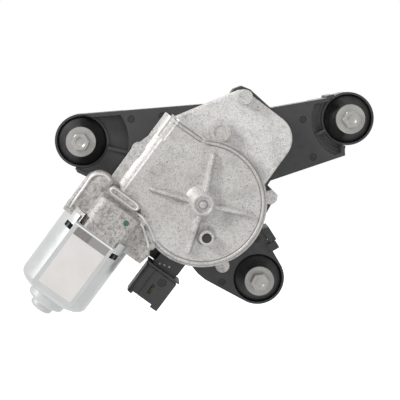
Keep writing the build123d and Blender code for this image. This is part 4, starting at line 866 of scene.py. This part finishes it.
bm = bmesh.new()
for centre in SCREWS:
    near = [vertex.co for vertex in nodes["housing_screws"].data.vertices
            if math.hypot(vertex.co.x / MM - centre[0], vertex.co.z / MM - centre[1]) < SCREW_REACH]
    tip = min(corner.y for corner in near) / MM + TUBE_END
    profile = ((tip, 0.5), (tip + 1.2, 1.7), (tip + 1.6, 2.0), (PLATE_BACK, 2.0), (PLATE_BACK, 3.8),
               (PLATE_BACK + 1.3, 3.8), (screw_top - 0.5, 3.5), (screw_top - 0.08, 2.9), (screw_top, 2.4),
               (screw_top, six_lobes(2.15, 0.55)), (screw_top - 1.7, six_lobes(1.9, 0.5)))
    skin([ring(centre, depth, radius, SCREW_SIDES) for depth, radius in profile], bm)
screws = add_piece("cover_screws", bm, *ZINC, smooth=False)
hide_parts("housing_screws")

# Output shaft again, cut off at the taper's end, with a serrated taper and a threaded end
SHAFT = (0.0, 0.0)
TAPER_START, TAPER_END = 60.0, 67.0
TAPER_START_RADIUS, TAPER_END_RADIUS = 5.0, 4.3
SERRATIONS = 36
SERRATION_DEPTH = 0.22
THREAD_RADIUS = 4.0
THREAD_PITCH = 1.25
THREAD_SIDES = 72
shaft_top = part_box("output_shaft")[1][1] / MM + TUBE_END

bm = bmesh.new()
bm.from_mesh(nodes["output_shaft"].data)
everything = bm.verts[:] + bm.edges[:] + bm.faces[:]
cut = bmesh.ops.bisect_plane(bm, geom=everything, dist=1e-7, plane_co=place(*SHAFT, TAPER_END + 0.1),
                             plane_no=(0, 1, 0), clear_outer=True)
bmesh.ops.holes_fill(bm, edges=[part for part in cut["geom_cut"] if isinstance(part, bmesh.types.BMEdge)])
neck = ((TAPER_END - 0.5, THREAD_RADIUS - 0.7), (TAPER_END - 0.4, THREAD_RADIUS),
        (TAPER_END + 0.4, THREAD_RADIUS))
rings = [ring(SHAFT, depth, radius, THREAD_SIDES) for depth, radius in neck]
rings += thread_rings(SHAFT, TAPER_END + 0.5, shaft_top, THREAD_RADIUS, THREAD_PITCH, THREAD_SIDES)
skin(rings, bm)
rings = []
for share, tooth in ((0.0, 0.0), (0.06, SERRATION_DEPTH), (0.94, SERRATION_DEPTH), (1.0, 0.0)):
    cone = TAPER_START_RADIUS + (TAPER_END_RADIUS - TAPER_START_RADIUS) * share

    def toothed(angle, cone=cone, tooth=tooth):
        crest = 2 * abs((angle * SERRATIONS / (2 * math.pi)) % 1.0 - 0.5)
        return min(cone - 0.06 + tooth * crest, TAPER_START_RADIUS - 0.01)

    depth = TAPER_START + 0.15 + (TAPER_END - TAPER_START - 0.3) * share
    rings.append(ring(SHAFT, depth, toothed, 4 * SERRATIONS))
skin(rings, bm)
shaft_end = add_piece("shaft_with_thread", bm, looks["bright_steel"], "bright_steel", smooth=False,
                      body="wiper_shaft")
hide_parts("output_shaft")


# Floor and world: a soft light on the object, but white where they are seen
FLOOR_HEIGHT = -0.30
FLOOR_HALF = 1.6
LIFT_NEAR, LIFT_FAR = 0.35, 1.1  # distances from the floor's middle
LIFT_NEAR_STRENGTH, LIFT_FAR_STRENGTH = 0.6, 0.84
WORLD_STRENGTH = 0.27
WHITE = (1, 1, 1, 1)


def seen_by(tree, *rays):
    """1 for these kinds of ray and 0 for all others."""
    path = tree.nodes.new("ShaderNodeLightPath")
    found = path.outputs[rays[0]]
    for ray in rays[1:]:
        either = tree.nodes.new("ShaderNodeMath")
        either.operation = "MAXIMUM"
        tree.links.new(found, either.inputs[0])
        tree.links.new(path.outputs[ray], either.inputs[1])
        found = either.outputs[0]
    return found


def plain_backdrop(name):
    """White floor: lit by the lamps, so that it keeps the shadow, and lifted to white where it is seen."""
    m = bpy.data.materials.new(name)
    m.use_nodes = True
    tree = m.node_tree
    tree.nodes.clear()
    out = tree.nodes.new("ShaderNodeOutputMaterial")
    diffuse = tree.nodes.new("ShaderNodeBsdfDiffuse")
    diffuse.inputs["Color"].default_value = (0.9, 0.9, 0.9, 1)
    lift = tree.nodes.new("ShaderNodeEmission")
    lift.inputs["Color"].default_value = WHITE
    coords = tree.nodes.new("ShaderNodeTexCoord")
    reach = tree.nodes.new("ShaderNodeVectorMath")
    reach.operation = "LENGTH"
    by_distance = tree.nodes.new("ShaderNodeMapRange")
    for socket, number in zip(by_distance.inputs[1:5],
                              (LIFT_NEAR, LIFT_FAR, LIFT_NEAR_STRENGTH, LIFT_FAR_STRENGTH)):
        socket.default_value = number
    strength = tree.nodes.new("ShaderNodeMath")
    strength.operation = "MULTIPLY"
    both = tree.nodes.new("ShaderNodeAddShader")
    tree.links.new(coords.outputs["Object"], reach.inputs[0])
    tree.links.new(reach.outputs["Value"], by_distance.inputs["Value"])
    tree.links.new(seen_by(tree, "Is Camera Ray", "Is Glossy Ray"), strength.inputs[0])
    tree.links.new(by_distance.outputs[0], strength.inputs[1])
    tree.links.new(strength.outputs[0], lift.inputs["Strength"])
    tree.links.new(diffuse.outputs[0], both.inputs[0])
    tree.links.new(lift.outputs[0], both.inputs[1])
    tree.links.new(both.outputs[0], out.inputs["Surface"])
    return m


mesh = bpy.data.meshes.new("floor")
grid = bmesh.new()
bmesh.ops.create_grid(grid, x_segments=2, y_segments=2, size=FLOOR_HALF)
grid.to_mesh(mesh)
grid.free()
floor = bpy.data.objects.new("floor", mesh)
floor.location = (0, 0, FLOOR_HEIGHT)
mesh.materials.append(plain_backdrop("floor_white"))
bpy.context.scene.collection.objects.link(floor)

world = bpy.data.worlds.new("studio")
bpy.context.scene.world = world
world.use_nodes = True
tree = world.node_tree
background = tree.nodes["Background"]
background.inputs["Color"].default_value = WHITE
background.inputs["Strength"].default_value = WORLD_STRENGTH
seen_white = tree.nodes.new("ShaderNodeBackground")
seen_white.inputs["Color"].default_value = WHITE
seen_white.inputs["Strength"].default_value = 1.0
mix = tree.nodes.new("ShaderNodeMixShader")
tree.links.new(seen_by(tree, "Is Camera Ray", "Is Glossy Ray", "Is Transmission Ray"), mix.inputs[0])
tree.links.new(background.outputs[0], mix.inputs[1])
tree.links.new(seen_white.outputs[0], mix.inputs[2])
tree.links.new(mix.outputs[0], tree.nodes["World Output"].inputs["Surface"])


# Lamps and camera, in metres
LAMPS_AIM = Vector((0, 0, -0.04))
CAMERA_PLACE = (-0.03891, -0.58485, 0.03056)
CAMERA_BACK = (-0.04350, -0.99074, 0.12862)
CAMERA_RIGHT = (0.99528, -0.05414, -0.08044)
CAMERA_LENS = 82.35
CAMERA_SENSOR = 36.0


def soft_light(name, location, size, power):
    """Square lamp that faces the middle of the object."""
    data = bpy.data.lights.new(name, "AREA")
    data.size = size
    data.energy = power
    lamp = bpy.data.objects.new(name, data)
    lamp.location = location
    lamp.rotation_euler = (LAMPS_AIM - Vector(location)).to_track_quat("-Z", "Y").to_euler()
    bpy.context.scene.collection.objects.link(lamp)


soft_light("key", (-0.7, -0.42, 0.6), size=0.22, power=8.4)
soft_light("fill", (0.1, -0.95, 0.25), size=0.6, power=1.0)
soft_light("side", (0.85, -0.4, 0.25), size=0.4, power=1.2)
soft_light("back", (0.3, 0.8, 0.5), size=0.7, power=3.0)

camera_data = bpy.data.cameras.new("camera")
camera_data.lens = CAMERA_LENS
camera_data.sensor_width = CAMERA_SENSOR
camera = bpy.data.objects.new("camera", camera_data)
back = Vector(CAMERA_BACK).normalized()
up = back.cross(Vector(CAMERA_RIGHT)).normalized()
turn = Matrix((up.cross(back), up, back)).transposed()
camera.matrix_world = Matrix.Translation(CAMERA_PLACE) @ turn.to_4x4()
bpy.context.scene.collection.objects.link(camera)
bpy.context.scene.camera = camera
bpy.context.scene.view_settings.view_transform = "Standard"
